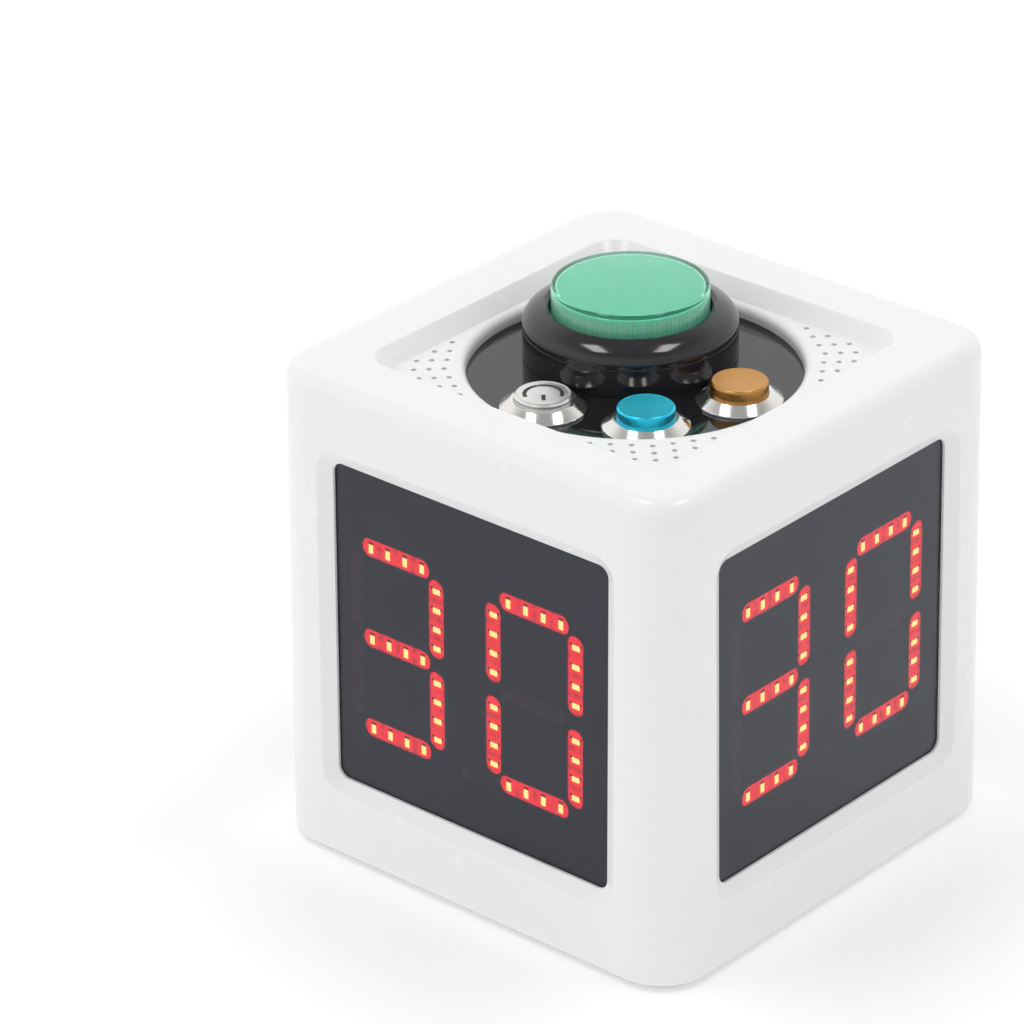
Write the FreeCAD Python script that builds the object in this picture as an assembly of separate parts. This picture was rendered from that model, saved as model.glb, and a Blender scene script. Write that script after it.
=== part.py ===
"""Cube game clock: a white moulded cube with a lit two-digit display on each side and push buttons on top.

Millimetres. +Z is up, the front face looks along -Y, and the origin is on the table under the middle of
the cube. Every piece is one node, written to parts/NODE.step.
"""

import FreeCAD, Part
import math
import os

V = FreeCAD.Vector

# ---- housing ----
BASE_WIDTH = 108.6          # across the flats at the open bottom edge
BODY_HEIGHT = 108.0         # bottom edge to top rim
DRAFT = 0.6                 # degrees that each side leans in, going up
CORNER_R = 12.0             # upright corners, at the bottom
WALL = 2.4
TOP_EDGE_R = 3.6
BOTTOM_EDGE_R = 1.2
FOOT_PROUD = 1.0            # how far the feet lift the housing off the table
EDGE_BREAK = 0.6            # small rounding on moulded edges

# ---- recess in the top ----
RECESS_HALF = 39.3          # at the top rim
RECESS_R = 6.5
FLOOR_HALF = 36.0           # at the floor
FLOOR_R = 4.5
RECESS_DEPTH = 3.2
FLOOR_THICK = 2.8
HOLE_R = 34.4               # round hole over the button panel
LIP_R = 1.7
SOUND_HOLE_R = 0.6
SOUND_ROWS = (3, 3, 2, 1)   # holes in the middle column of a corner, then in each next one out
SOUND_START = 38.8          # middle column's first hole, from the centre along the diagonal
SOUND_STEP = 0.8            # each next column starts this much nearer the centre
SOUND_PITCH = 3.1           # along the diagonal
SOUND_COLUMN = 4.1          # across the diagonal

# ---- windows and displays, one set on each side ----
WINDOW_Z = 54.0             # window centre above the bottom edge
WINDOW_HALF = 36.4          # clear opening
WINDOW_R = 2.6
BEVEL = 3.0                 # width of the sloped frame round the opening
BEVEL_LAND = 0.6            # straight wall between the slope and the window
WINDOW_THICK = 0.8
WINDOW_LAP = 2.6            # how far the window reaches behind the housing's edge
MASK_THICK = 1.2
BOARD_THICK = 1.6
EAR_X = 30.0                # fixing ears above and below each board
EAR_REACH = 3.5             # ear screw beyond the board's edge
EAR_R = 3.2
BOARD_SCREW_R = 1.0
BOARD_SCREW_BITE = 2.0      # thread length in the boss and wall
SCREW_HEAD_R = 1.9
SCREW_HEAD_HIGH = 1.3
DIGIT_OFFSET = 18.4         # digit centre from the window centre
COLUMN_OFFSET = 10.8        # upright segments from the digit centre
ROW_OFFSET = 20.8           # top and bottom segments from the digit centre
UPRIGHT_OFFSET = 10.5       # middle of an upright segment from the digit centre
SEGMENT_R = 2.2
LEVEL_LENGTH = 18.5
UPRIGHT_LENGTH = 18.0
LEVEL_PITCH = 4.6
UPRIGHT_PITCH = 4.35
LEDS_PER_SEGMENT = 4
LED_LONG = 2.0
LED_SHORT = 1.25
LED_HIGH = 0.9
LED_DROP = 0.3              # the chips sit this much below their segment's middle
POINT_DROP = 22.0           # decimal point below the window centre
POINT_R = 1.5

# ---- button panel ----
PANEL_R = 36.9
PANEL_THICK = 3.0
RIM_GAP = 1.0               # small buttons' heads inside the round hole
BUTTON_MIDDLE = -45.0       # degrees, the middle small button
BUTTON_SPREAD = 54.0        # degrees between neighbours
RING_THICK = 2.5
RING_LAP = 2.0              # how far the clamp ring reaches under the panel
RING_WIDTH = 3.7
RING_SCREW_OUT = 5.6        # screws beyond the panel's edge
PANEL_BOSS_R = 3.0

# ---- large push button ----
LARGE_RIM_GAP = 1.6         # its bezel inside the round hole, away from the small buttons
LARGE_WALL = 5.45           # bezel outside the cap's hole
LARGE_BODY_HIGH = 6.1       # lower ring, panel to seam
LARGE_RIM_HIGH = 11.0       # panel to the top of the bezel
LARGE_CAP_R = 16.3
LARGE_CAP_GAP = 0.45
LARGE_CAP_HIGH = 15.35      # panel to the cap's top
LARGE_CAP_WALL = 1.0
LARGE_CAP_TOP = 1.2
LARGE_TRAVEL = 3.5
LARGE_STEM_R = 13.9
LARGE_STEM_LONG = 24.0
LARGE_STEM_WALL = 1.7
LARGE_FLOOR = 1.5
LEGEND_THICK = 0.8
PLUNGER_PLATE = 1.5
PLUNGER_SKIRT = 1.2         # white wall that lines the cap
TUBE_R = 9.0
TUBE_WALL = 1.4
GUIDE_TOP = 3.0             # guide web below the panel's top
GUIDE_THICK = 3.0
LAMP_GAP = 1.0              # lamp holder inside the plunger's tube
LAMP_BULB_R = 2.4
LARGE_NUT_WALL = 3.6
LARGE_NUT_THICK = 4.0
SPRING_WIRE_R = 0.5
SPRING_TURNS = 5
SWITCH_PIN_R = 1.3
SWITCH_SHARE = 0.4          # switch pin travel over button travel
LEG_LONG = 7.0

# ---- small push buttons ----
SMALL_LIP = 1.05            # head beyond the thread
SMALL_RIM_WALL = 0.75
SMALL_EDGE = 0.5            # straight edge under the cone
SMALL_RIM_HIGH = 2.1
SMALL_CAP_R = 5.95
SMALL_CAP_UP = 4.6          # panel to the top of a released cap
SMALL_CAP_DISH = 0.25
POWER_LATCH = 1.2           # the power button stays this far down while it is on
SMALL_THREAD_WALL = 1.05
SMALL_THREAD_LONG = 17.0
SMALL_FLANGE = 0.65         # cap's stop flange beyond the cap
SMALL_FLANGE_THICK = 0.9
SMALL_STOP_DEPTH = 3.0      # underside of the stop shoulder below the panel's top
SMALL_NUT_WALL = 1.3        # nut's flats beyond the thread
SMALL_NUT_THICK = 3.0
SMALL_SEAL_THICK = 0.8
SMALL_SPRING_GAP = 1.25     # spring's outside inside the cap's edge
SMALL_SPRING_WIRE_R = 0.3
SMALL_SPRING_TURNS = 5
COIL_STEPS = 12             # straight steps in each turn of a spring
TERMINAL_THICK = 4.0
SYMBOL_R = 3.8
SYMBOL_LINE = 0.85
SYMBOL_DEPTH = 0.3
SYMBOL_GAP = 137.0          # degrees left open at the top of the arc
SYMBOL_BAR = (0.3, 3.1)     # ends of the bar, from the middle
SYMBOL_TURN = -48.0         # degrees, the way the bar points

# ---- base and electronics ----
PLATE_THICK = 2.5
PLATE_GAP = 0.3
BASE_HEAD_R = 2.8
BASE_HEAD_DEEP = 1.4
BASE_SCREW_IN = 5.2         # screws inside the walls' inner faces
BASE_BOSS_R = 4.0
BASE_BOSS_HIGH = 14.0
BASE_SCREW_R = 1.4
FOOT_AT = 34.0
FOOT_R = 5.0
FOOT_THICK = 2.0
STANDOFF_R = 2.6
STANDOFF_HIGH = 4.0
MAIN_BOARD = (-36.0, 36.0, 3.0, 36.0)
MAIN_SCREW_INSET = 4.0
CELL_R = 9.2
CELL_LONG = 65.0
CELL_Y = -22.0
HOLDER_WALL = 2.0
SPEAKER_R = 9.0
SPEAKER_THICK = 3.0
SPEAKER_GAP = 0.6           # loudspeaker beyond the panel's edge
PORT_WIDE = 8.94
PORT_HIGH = 3.26
PORT_LONG = 7.3
PORT_Z = 8.0                # port centre above the bottom edge
PORT_SET_BACK = 0.6         # port face behind the housing's outer face

# ---- clearances ----
SLIDE_FIT = 0.05            # radial, sliding pieces
LOOSE_FIT = 0.3             # radial, pieces that only pass through
END_GAP = 0.3               # between a moving piece and its stop

TOP = FOOT_PROUD + BODY_HEIGHT
PANEL_Z = TOP - RECESS_DEPTH - FLOOR_THICK
PANEL_BOTTOM = PANEL_Z - PANEL_THICK
LEAN = math.tan(math.radians(DRAFT))
WINDOW_CENTRE = FOOT_PROUD + WINDOW_Z
PLATE_TOP = FOOT_PROUD + PLATE_THICK
STACK = WALL + WINDOW_THICK
BOARD_HALF = WINDOW_HALF + WINDOW_LAP
EAR_Y = BOARD_HALF + EAR_REACH
BASE_SCREW_AT = BASE_WIDTH / 2 - WALL - BASE_SCREW_IN
SMALL_RIM_R = SMALL_CAP_R + SMALL_RIM_WALL
SMALL_FLANGE_R = SMALL_CAP_R + SMALL_FLANGE
SMALL_CHAMBER_R = SMALL_FLANGE_R + LOOSE_FIT
SMALL_THREAD_R = SMALL_CHAMBER_R + SMALL_THREAD_WALL
SMALL_R = SMALL_THREAD_R + SMALL_LIP
BUTTON_CIRCLE_R = HOLE_R - SMALL_R - RIM_GAP
LARGE_HOLE_R = LARGE_CAP_R + LARGE_CAP_GAP
LARGE_R = LARGE_HOLE_R + LARGE_WALL
LARGE_OFFSET = HOLE_R - LARGE_R - LARGE_RIM_GAP
LARGE_STEM_BORE = LARGE_STEM_R - LARGE_STEM_WALL
TUBE_BORE = TUBE_R - TUBE_WALL
RING_INNER_R = PANEL_R - RING_LAP
RING_OUTER_R = RING_INNER_R + RING_WIDTH
RING_SCREW_R = PANEL_R + RING_SCREW_OUT
SPEAKER_AT = (PANEL_R + SPEAKER_R + SPEAKER_GAP) / math.sqrt(2)
# each side: name, angle, and how far its digits sit off the window's centre, across and up
FACES = (("front", 0, (-2.3, -1.8)), ("right", 90, (-0.3, 0.2)), ("back", 180, (0, 0)), ("left", 270, (0, 0)))

os.makedirs("parts", exist_ok=True)


# ---- shapes ----
def cylinder(radius, low, high, x=0, y=0):
    return Part.makeCylinder(radius, high - low, V(x, y, low))


def tube(outer, inner, low, high, x=0, y=0):
    return cylinder(outer, low, high, x, y).cut(cylinder(inner, low - 1, high + 1, x, y))


def block(x0, x1, y0, y1, z0, z1):
    return Part.makeBox(x1 - x0, y1 - y0, z1 - z0, V(x0, y0, z0))


def rounded_square(half_x, half_y, radius, z):
    """Closed outline of a rectangle with round corners, at height z."""
    edges = []
    corners = ((1, 1, 0), (-1, 1, 90), (-1, -1, 180), (1, -1, 270))
    ends = []
    for side_x, side_y, start in corners:
        centre = V(side_x * (half_x - radius), side_y * (half_y - radius), z)
        points = [centre + turn(V(radius, 0, 0), start + step) for step in (0, 45, 90)]
        ends.append((points[0], points[2]))
        edges.append(Part.Arc(*points).toShape())
    for k in range(4):
        edges.append(Part.LineSegment(ends[k][1], ends[(k + 1) % 4][0]).toShape())
    return Part.Wire(Part.__sortEdges__(edges))


def turn(vector, degrees):
    return FreeCAD.Rotation(V(0, 0, 1), degrees).multVec(vector)


def taper(low, high):
    """Solid between two round-cornered rectangles, each (half_x, half_y, radius, z)."""
    return Part.makeLoft([rounded_square(*low), rounded_square(*high)], True, True)


def slab(half, radius, low, high):
    return taper((half, half, radius, low), (half, half, radius, high))


def turned(points, x=0, y=0):
    """Solid of revolution about an upright axis from (radius, z) points."""
    wire = Part.makePolygon([V(r, 0, z) for r, z in points + [points[0]]])
    solid = Part.Face(wire).revolve(V(0, 0, 0), V(0, 0, 1), 360)
    solid.translate(V(x, y, 0))
    return solid


def hexagon(flat, low, high, x, y, angle):
    corner = flat / 2 / math.cos(math.radians(30))
    points = [turn(V(corner, 0, low), 60 * k + 30 + angle) + V(x, y, 0) for k in range(7)]
    return Part.Face(Part.makePolygon(points)).extrude(V(0, 0, high - low))


def coil(mean, wire, turns, low, high, x, y):
    """Compression spring between two levels, its wire in short straight steps with mitred joints."""
    count = turns * COIL_STEPS
    rise = high - low - 2 * wire
    points = [turn(V(mean, 0, low + wire + rise * k / count), 360 * k / COIL_STEPS) + V(x, y, 0)
              for k in range(count + 1)]
    section = Part.Wire(Part.Circle(points[0], points[1] - points[0], wire).toShape())
    return Part.makePolygon(points).makePipeShell([section], True, False, 1)


def at_corners(reach, make):
    """The shapes that make(x, y) gives at the four corners of a square."""
    return [make(sx * reach, sy * reach) for sx in (-1, 1) for sy in (-1, 1)]


def screw(radius, head_r, low, high, head, x, y):
    """Screw with its head at the low end."""
    shank = cylinder(radius, low, high, x, y)
    return shank.fuse(cylinder(head_r, low - head, low, x, y))


def half_width(z):
    """Half the housing's outer width at height z."""
    return BASE_WIDTH / 2 - (z - FOOT_PROUD) * LEAN


def on_face(shape, angle):
    """Places a shape made flat, with x right, y up and z outwards, on the side at this angle."""
    lean = FreeCAD.Placement(V(0, -half_width(WINDOW_CENTRE), WINDOW_CENTRE),
                             FreeCAD.Rotation(V(1, 0, 0), 90 - DRAFT))
    around = FreeCAD.Placement(V(0, 0, 0), FreeCAD.Rotation(V(0, 0, 1), angle))
    placed = shape.copy()
    placed.Placement = around.multiply(lean).multiply(placed.Placement)
    return placed


def edges_at(shape, z, reach, outer):
    """Edges lying at height z whose points are inside, or outside, this reach from the axis."""
    found = []
    for edge in shape.Edges:
        box = edge.BoundBox
        flat = abs(box.ZMin - z) < 1e-4 and abs(box.ZMax - z) < 1e-4
        middle = edge.valueAt((edge.FirstParameter + edge.LastParameter) / 2)
        far = max(abs(middle.x), abs(middle.y)) > reach
        if flat and far == outer:
            found.append(edge)
    return found


def save(name, shape):
    shapes = shape if isinstance(shape, list) else [shape]
    solids = [solid for one in shapes for solid in one.Solids]
    whole = solids[0] if len(solids) == 1 else Part.makeCompound(solids)
    whole.exportStep("parts/" + name + ".step")


# ---- housing ----
def cavity(gap, low, high):
    """Space inside the walls, smaller by gap, between two heights."""
    ends = []
    for z in (low, high):
        half = half_width(z) - WALL - gap
        radius = CORNER_R - WALL - gap - (z - FOOT_PROUD) * LEAN
        ends.append((half, half, radius, z))
    return taper(*ends)


def sound_holes():
    holes = []
    for corner in range(4):
        for column in range(1 - len(SOUND_ROWS), len(SOUND_ROWS)):
            for row in range(SOUND_ROWS[abs(column)]):
                out = SOUND_START - SOUND_STEP * abs(column) + SOUND_PITCH * row
                spot = turn(V(out, SOUND_COLUMN * column, 0), 45 + 90 * corner)
                holes.append(cylinder(SOUND_HOLE_R, PANEL_Z - 1, TOP, spot.x, spot.y))
    return holes


def window_cut():
    """Sloped frame and clear opening of a window, in the side's own frame."""
    outer = WINDOW_HALF + BEVEL
    depth = WALL - BEVEL_LAND
    slope = taper((WINDOW_HALF, WINDOW_HALF, WINDOW_R, -depth), (outer, outer, WINDOW_R + BEVEL, 0))
    return slope.fuse(slab(WINDOW_HALF, WINDOW_R, -WALL - 1, -depth)).fuse(
        slab(outer, WINDOW_R + BEVEL, 0, 1))


def board_bosses():
    low, high = -STACK, -WALL + 1
    return [cylinder(EAR_R, low, high, sx * EAR_X, sy * EAR_Y) for sx in (-1, 1) for sy in (-1, 1)]


def board_pilots():
    return [cylinder(BOARD_SCREW_R, -STACK - 1, BOARD_SCREW_BITE - STACK, sx * EAR_X, sy * EAR_Y)
            for sx in (-1, 1) for sy in (-1, 1)]


def panel_fixings(radius, low, high):
    spots = [turn(V(RING_SCREW_R, 0, 0), 90 * k) for k in range(4)]
    return [cylinder(radius, low, high, spot.x, spot.y) for spot in spots]


def port_opening(gap, low_y, high_y):
    half_x, half_z = PORT_WIDE / 2 + gap, PORT_HIGH / 2 + gap
    flat = taper((half_x, half_z, half_z * 0.98, 0), (half_x, half_z, half_z * 0.98, high_y - low_y))
    flat.rotate(V(0, 0, 0), V(1, 0, 0), -90)
    flat.translate(V(0, low_y, FOOT_PROUD + PORT_Z))
    return flat


def make_housing():
    top_half = half_width(TOP)
    shrink = BODY_HEIGHT * LEAN
    body = taper((BASE_WIDTH / 2, BASE_WIDTH / 2, CORNER_R, FOOT_PROUD),
                 (top_half, top_half, CORNER_R - shrink, TOP))
    body = body.makeFillet(TOP_EDGE_R, edges_at(body, TOP, 0, True))
    body = body.makeFillet(BOTTOM_EDGE_R, edges_at(body, FOOT_PROUD, 0, True))
    body = body.cut(cavity(0, FOOT_PROUD - 1, TOP - WALL))
    pan_low = (FLOOR_HALF + WALL, FLOOR_HALF + WALL, FLOOR_R + WALL, PANEL_Z)
    pan_high = (RECESS_HALF + WALL, RECESS_HALF + WALL, RECESS_R + WALL, TOP - WALL / 2)
    body = body.fuse(taper(pan_low, pan_high))
    for boss in panel_fixings(PANEL_BOSS_R, PANEL_BOTTOM, TOP - WALL / 2):
        body = body.fuse(boss)
    for boss in at_corners(BASE_SCREW_AT, lambda x, y: cylinder(
            BASE_BOSS_R, PLATE_TOP, PLATE_TOP + BASE_BOSS_HIGH, x, y)):
        body = body.fuse(boss)
    body = body.cut(taper((FLOOR_HALF, FLOOR_HALF, FLOOR_R, TOP - RECESS_DEPTH),
                          (RECESS_HALF, RECESS_HALF, RECESS_R, TOP)))
    body = body.makeFillet(EDGE_BREAK, edges_at(body, TOP, RECESS_HALF + 1, False))
    body = body.cut(cylinder(HOLE_R, PANEL_Z - 1, TOP))
    lip = [e for e in body.Edges if abs(e.BoundBox.XMax - HOLE_R) < 1e-3
           and abs(e.BoundBox.ZMax - TOP + RECESS_DEPTH) < 1e-3]
    body = body.makeFillet(LIP_R, lip)
    cuts = sound_holes()
    cuts += panel_fixings(BOARD_SCREW_R, PANEL_BOTTOM - 1, PANEL_Z)
    cuts += at_corners(BASE_SCREW_AT, lambda x, y: cylinder(
        BASE_SCREW_R, PLATE_TOP - 1, PLATE_TOP + BASE_BOSS_HIGH - 2, x, y))
    cuts.append(port_opening(LOOSE_FIT, half_width(PORT_Z) - WALL - 2, half_width(PORT_Z) + 2))
    for _, angle, _ in FACES:
        for boss in board_bosses():
            body = body.fuse(on_face(boss, angle))
        cuts.append(on_face(window_cut(), angle))
        cuts += [on_face(pilot, angle) for pilot in board_pilots()]
    return body.cut(cuts)


save("housing", make_housing())


# ---- windows and displays ----
def capsule(length, radius, low, high, x, y, upright):
    """Slot with round ends."""
    reach = length / 2 - radius
    half_x, half_y = (radius, reach) if upright else (reach, radius)
    shape = block(x - half_x, x + half_x, y - half_y, y + half_y, low, high)
    for side in (-1, 1):
        end_x, end_y = (x, y + side * reach) if upright else (x + side * reach, y)
        shape = shape.fuse(cylinder(radius, low, high, end_x, end_y))
    return shape


def segments(across, up):
    """Every display segment as (x, y, upright), two digits side by side, moved across and up."""
    found = []
    for digit in (across - DIGIT_OFFSET, across + DIGIT_OFFSET):
        for row in (-ROW_OFFSET, 0, ROW_OFFSET):
            found.append((digit, up + row, False))
        for side in (-COLUMN_OFFSET, COLUMN_OFFSET):
            for half in (-UPRIGHT_OFFSET, UPRIGHT_OFFSET):
                found.append((digit + side, up + half, True))
    return found


def eared_plate(thick, top):
    """Square plate with four fixing ears, its outer face at this depth."""
    low = top - thick
    plate = slab(BOARD_HALF, WINDOW_R, low, top)
    for sx in (-1, 1):
        for sy in (-1, 1):
            x, y = sx * EAR_X, sy * EAR_Y
            inner, outer = sorted((sy * (BOARD_HALF - 1), y))
            plate = plate.fuse(block(x - EAR_R, x + EAR_R, inner, outer, low, top))
            plate = plate.fuse(cylinder(EAR_R, low, top, x, y))
            plate = plate.cut(cylinder(BOARD_SCREW_R + 0.2, low - 1, top + 1, x, y))
    return plate


def make_mask(across, up):
    plate = eared_plate(MASK_THICK, -STACK)
    cuts = []
    for x, y, upright in segments(across, up):
        length = UPRIGHT_LENGTH if upright else LEVEL_LENGTH
        cuts.append(capsule(length, SEGMENT_R, -STACK - MASK_THICK - 1, -STACK + 1, x, y, upright))
    cuts.append(cylinder(POINT_R, -STACK - MASK_THICK - 1, -STACK + 1, across, up - POINT_DROP))
    return plate.cut(cuts)


def led_chip(x, y, wide, tall):
    low = -STACK - MASK_THICK
    return block(x - wide / 2, x + wide / 2, y - tall / 2, y + tall / 2, low, low + LED_HIGH)


def make_leds(across, up):
    chips = []
    for x, y, upright in segments(across, up):
        pitch = UPRIGHT_PITCH if upright else LEVEL_PITCH
        wide, tall = (LED_LONG, LED_SHORT) if upright else (LED_SHORT, LED_LONG)
        for k in range(LEDS_PER_SEGMENT):
            step = (k - (LEDS_PER_SEGMENT - 1) / 2) * pitch
            cx, cy = (x, y + step - LED_DROP) if upright else (x + step, y - LED_DROP)
            chips.append(led_chip(cx, cy, wide, tall))
    chips.append(led_chip(across, up - POINT_DROP, LED_LONG, LED_SHORT))
    return Part.makeCompound(chips)


window = slab(BOARD_HALF, WINDOW_R, -STACK, -WALL)
board = eared_plate(BOARD_THICK, -STACK - MASK_THICK)
board_back = -STACK - MASK_THICK - BOARD_THICK
board_screws = []
for side_name, side_angle, digit_shift in FACES:
    save("window_" + side_name, on_face(window, side_angle))
    save("segment_mask_" + side_name, on_face(make_mask(*digit_shift), side_angle))
    save("display_board_" + side_name, on_face(board, side_angle))
    save("leds_" + side_name, on_face(make_leds(*digit_shift), side_angle))
    for ear_x in (-EAR_X, EAR_X):
        for ear_y in (-EAR_Y, EAR_Y):
            one = screw(BOARD_SCREW_R, SCREW_HEAD_R, board_back, BOARD_SCREW_BITE - STACK, SCREW_HEAD_HIGH,
                        ear_x, ear_y)
            board_screws.append(on_face(one, side_angle))

# ---- button panel and its clamp ----
large = turn(V(LARGE_OFFSET, 0, 0), BUTTON_MIDDLE + 180)
small_names = ("power", "blue", "orange")
small_at = {}
for place, small_name in enumerate(small_names):
    small_at[small_name] = turn(V(BUTTON_CIRCLE_R, 0, 0), BUTTON_MIDDLE + BUTTON_SPREAD * (place - 1))

panel = cylinder(PANEL_R, PANEL_BOTTOM, PANEL_Z)
panel = panel.cut(cylinder(LARGE_STEM_R + LOOSE_FIT, PANEL_BOTTOM - 1, TOP, large.x, large.y))
for spot in small_at.values():
    panel = panel.cut(cylinder(SMALL_THREAD_R + LOOSE_FIT, PANEL_BOTTOM - 1, TOP, spot.x, spot.y))
save("top_panel", panel)

ring_low = PANEL_BOTTOM - RING_THICK
ring = tube(RING_OUTER_R, RING_INNER_R, ring_low, PANEL_BOTTOM)
for quarter in range(4):
    arm = block(RING_INNER_R + 1, RING_SCREW_R, -PANEL_BOSS_R, PANEL_BOSS_R, ring_low, PANEL_BOTTOM)
    arm = arm.fuse(cylinder(PANEL_BOSS_R, ring_low, PANEL_BOTTOM, RING_SCREW_R, 0))
    arm.rotate(V(0, 0, 0), V(0, 0, 1), 90 * quarter)
    ring = ring.fuse(arm)
for hole in panel_fixings(BOARD_SCREW_R + 0.2, ring_low - 1, PANEL_BOTTOM + 1):
    ring = ring.cut(hole)
save("panel_clamp_ring", ring)
ring_screws = []
for quarter in range(4):
    spot = turn(V(RING_SCREW_R, 0, 0), 90 * quarter)
    ring_screws.append(screw(BOARD_SCREW_R, SCREW_HEAD_R, ring_low, PANEL_Z, SCREW_HEAD_HIGH, spot.x, spot.y))
save("panel_screws", ring_screws)


# ---- large push button ----
def above(points):
    """(radius, height above the panel) points as (radius, z)."""
    return [(r, PANEL_Z + h) for r, h in points]


LX, LY = large.x, large.y
chamber_r = LARGE_HOLE_R + 0.2
guide_low = -GUIDE_TOP - GUIDE_THICK
bore = TUBE_R + SLIDE_FIT
body_points = [(chamber_r, LARGE_BODY_HIGH), (LARGE_R, LARGE_BODY_HIGH), (LARGE_R, 0), (LARGE_STEM_R, 0),
               (LARGE_STEM_R, -LARGE_STEM_LONG), (LARGE_STEM_BORE, -LARGE_STEM_LONG),
               (LARGE_STEM_BORE, guide_low), (bore, guide_low), (bore, -GUIDE_TOP),
               (LARGE_STEM_BORE, -GUIDE_TOP), (LARGE_STEM_BORE, LARGE_FLOOR), (chamber_r, LARGE_FLOOR)]
save("large_button_body", turned(above(body_points), LX, LY))


def make_bezel():
    """Upper black ring: a short upright edge, then a rounded shoulder up to the cap's hole."""
    hole = LARGE_HOLE_R
    low, edge, rim = (PANEL_Z + h for h in (LARGE_BODY_HIGH, LARGE_BODY_HIGH + 0.9, LARGE_RIM_HIGH))
    shoulder = V(LARGE_R - 1.1, 0, edge + (rim - edge) * 0.55)
    arc = Part.Arc(V(LARGE_R, 0, edge), shoulder, V(hole + 1.0, 0, rim)).toShape()
    straight = [(hole + 1.0, rim), (hole, rim - 0.4), (hole, low), (LARGE_R, low), (LARGE_R, edge)]
    lines = [Part.LineSegment(V(a[0], 0, a[1]), V(b[0], 0, b[1])).toShape()
             for a, b in zip(straight, straight[1:])]
    bezel = Part.Face(Part.Wire([arc] + lines)).revolve(V(0, 0, 0), V(0, 0, 1), 360)
    bezel.translate(V(LX, LY, 0))
    return bezel


save("large_button_bezel", make_bezel())

skirt_low = LARGE_FLOOR + LARGE_TRAVEL + END_GAP
cap_under = LARGE_CAP_HIGH - LARGE_CAP_TOP
cap_inner = LARGE_CAP_R - LARGE_CAP_WALL
cap = turned(above([(0, LARGE_CAP_HIGH), (LARGE_CAP_R - EDGE_BREAK, LARGE_CAP_HIGH),
                    (LARGE_CAP_R, LARGE_CAP_HIGH - EDGE_BREAK), (LARGE_CAP_R, skirt_low),
                    (cap_inner, skirt_low), (cap_inner, cap_under), (0, cap_under)]), LX, LY)
save("large_button_cap", cap)
legend_low = cap_under - LEGEND_THICK
save("large_button_legend", cylinder(cap_inner, PANEL_Z + legend_low, PANEL_Z + cap_under, LX, LY))

plate_low = legend_low - PLUNGER_PLATE
flange_top = guide_low - END_GAP
flange_low = flange_top - 1.0
lining = cap_inner - PLUNGER_SKIRT
plunger = turned(above([(0, legend_low), (cap_inner, legend_low), (cap_inner, skirt_low),
                        (lining, skirt_low), (lining, plate_low), (TUBE_R, plate_low),
                        (TUBE_R, flange_top), (TUBE_R + 1, flange_top),
                        (TUBE_R + 1, flange_low), (TUBE_BORE, flange_low), (TUBE_BORE, plate_low),
                        (0, plate_low)]), LX, LY)
leg_low = PANEL_Z + flange_low - LEG_LONG
leg_r = (TUBE_R + TUBE_BORE) / 2
leg = block(LX + TUBE_BORE, LX + TUBE_R + 1, LY - 2, LY + 2, leg_low, PANEL_Z + flange_low)
save("large_button_plunger", plunger.fuse(leg))
spring_r = (bore + LARGE_STEM_BORE) / 2
save("large_button_spring", coil(spring_r, SPRING_WIRE_R, SPRING_TURNS, PANEL_Z - GUIDE_TOP,
                                 PANEL_Z + plate_low, LX, LY))

nut_low = PANEL_BOTTOM - LARGE_NUT_THICK
nut_r = LARGE_STEM_R + LARGE_NUT_WALL
nut = tube(nut_r, LARGE_STEM_R, nut_low, PANEL_BOTTOM, LX, LY)
notches = []
for notch in range(12):
    spot = turn(V(nut_r, 0, 0), 30 * notch) + large
    notches.append(cylinder(1.3, nut_low - 1, PANEL_BOTTOM + 1, spot.x, spot.y))
save("large_button_nut", nut.cut(notches))

stem_end = PANEL_Z - LARGE_STEM_LONG
holder_top = PANEL_Z - LARGE_BODY_HIGH
holder = cylinder(TUBE_BORE - LAMP_GAP, stem_end, holder_top, LX, LY).fuse(
    cylinder(LARGE_STEM_R - 0.5, stem_end - 3, stem_end, LX, LY))
switch_x = LX + leg_r
holder = holder.cut(cylinder(SWITCH_PIN_R + SLIDE_FIT, stem_end - 4, stem_end + 1, switch_x, LY))
save("lamp_holder", holder)
lamp = cylinder(LAMP_BULB_R, holder_top, holder_top + 4, LX, LY).fuse(
    Part.makeSphere(LAMP_BULB_R, V(LX, LY, holder_top + 4)))
save("button_lamp", lamp)

switch_top = stem_end - 3
switch = block(LX - 9, switch_x + 4, LY - 3.2, LY + 3.2, switch_top - 10, switch_top)
pin_travel = LARGE_TRAVEL * SWITCH_SHARE
pin_low = switch_top - 2
pin_well = pin_low - pin_travel - 1
switch = switch.cut(cylinder(SWITCH_PIN_R + SLIDE_FIT, pin_well, switch_top + 1, switch_x, LY))
tabs = [block(LX + x - 0.3, LX + x + 0.3, LY - 1.6, LY + 1.6, switch_top - 15, switch_top - 10)
        for x in (-6, 0, 8)]
for tab in tabs:
    switch = switch.fuse(tab)
save("microswitch", switch)
pin_high = leg_low - LARGE_TRAVEL + pin_travel - END_GAP
save("microswitch_pin", cylinder(SWITCH_PIN_R, pin_low, pin_high, switch_x, LY))


# ---- small push buttons ----
def power_symbol(top):
    """Broken circle and upright bar, cut into the cap."""
    low = top - SYMBOL_DEPTH
    half_line = SYMBOL_LINE / 2
    arc = tube(SYMBOL_R + half_line, SYMBOL_R - half_line, low, top + 1)
    opening = Part.makeCylinder(SYMBOL_R * 2, top + 1 - low, V(0, 0, low), V(0, 0, 1), SYMBOL_GAP)
    opening.rotate(V(0, 0, 0), V(0, 0, 1), -SYMBOL_GAP / 2)
    bar = block(*SYMBOL_BAR, -half_line, half_line, low, top + 1)
    symbol = arc.cut(opening).fuse(bar)
    symbol.rotate(V(0, 0, 0), V(0, 0, 1), SYMBOL_TURN)
    return symbol


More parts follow.
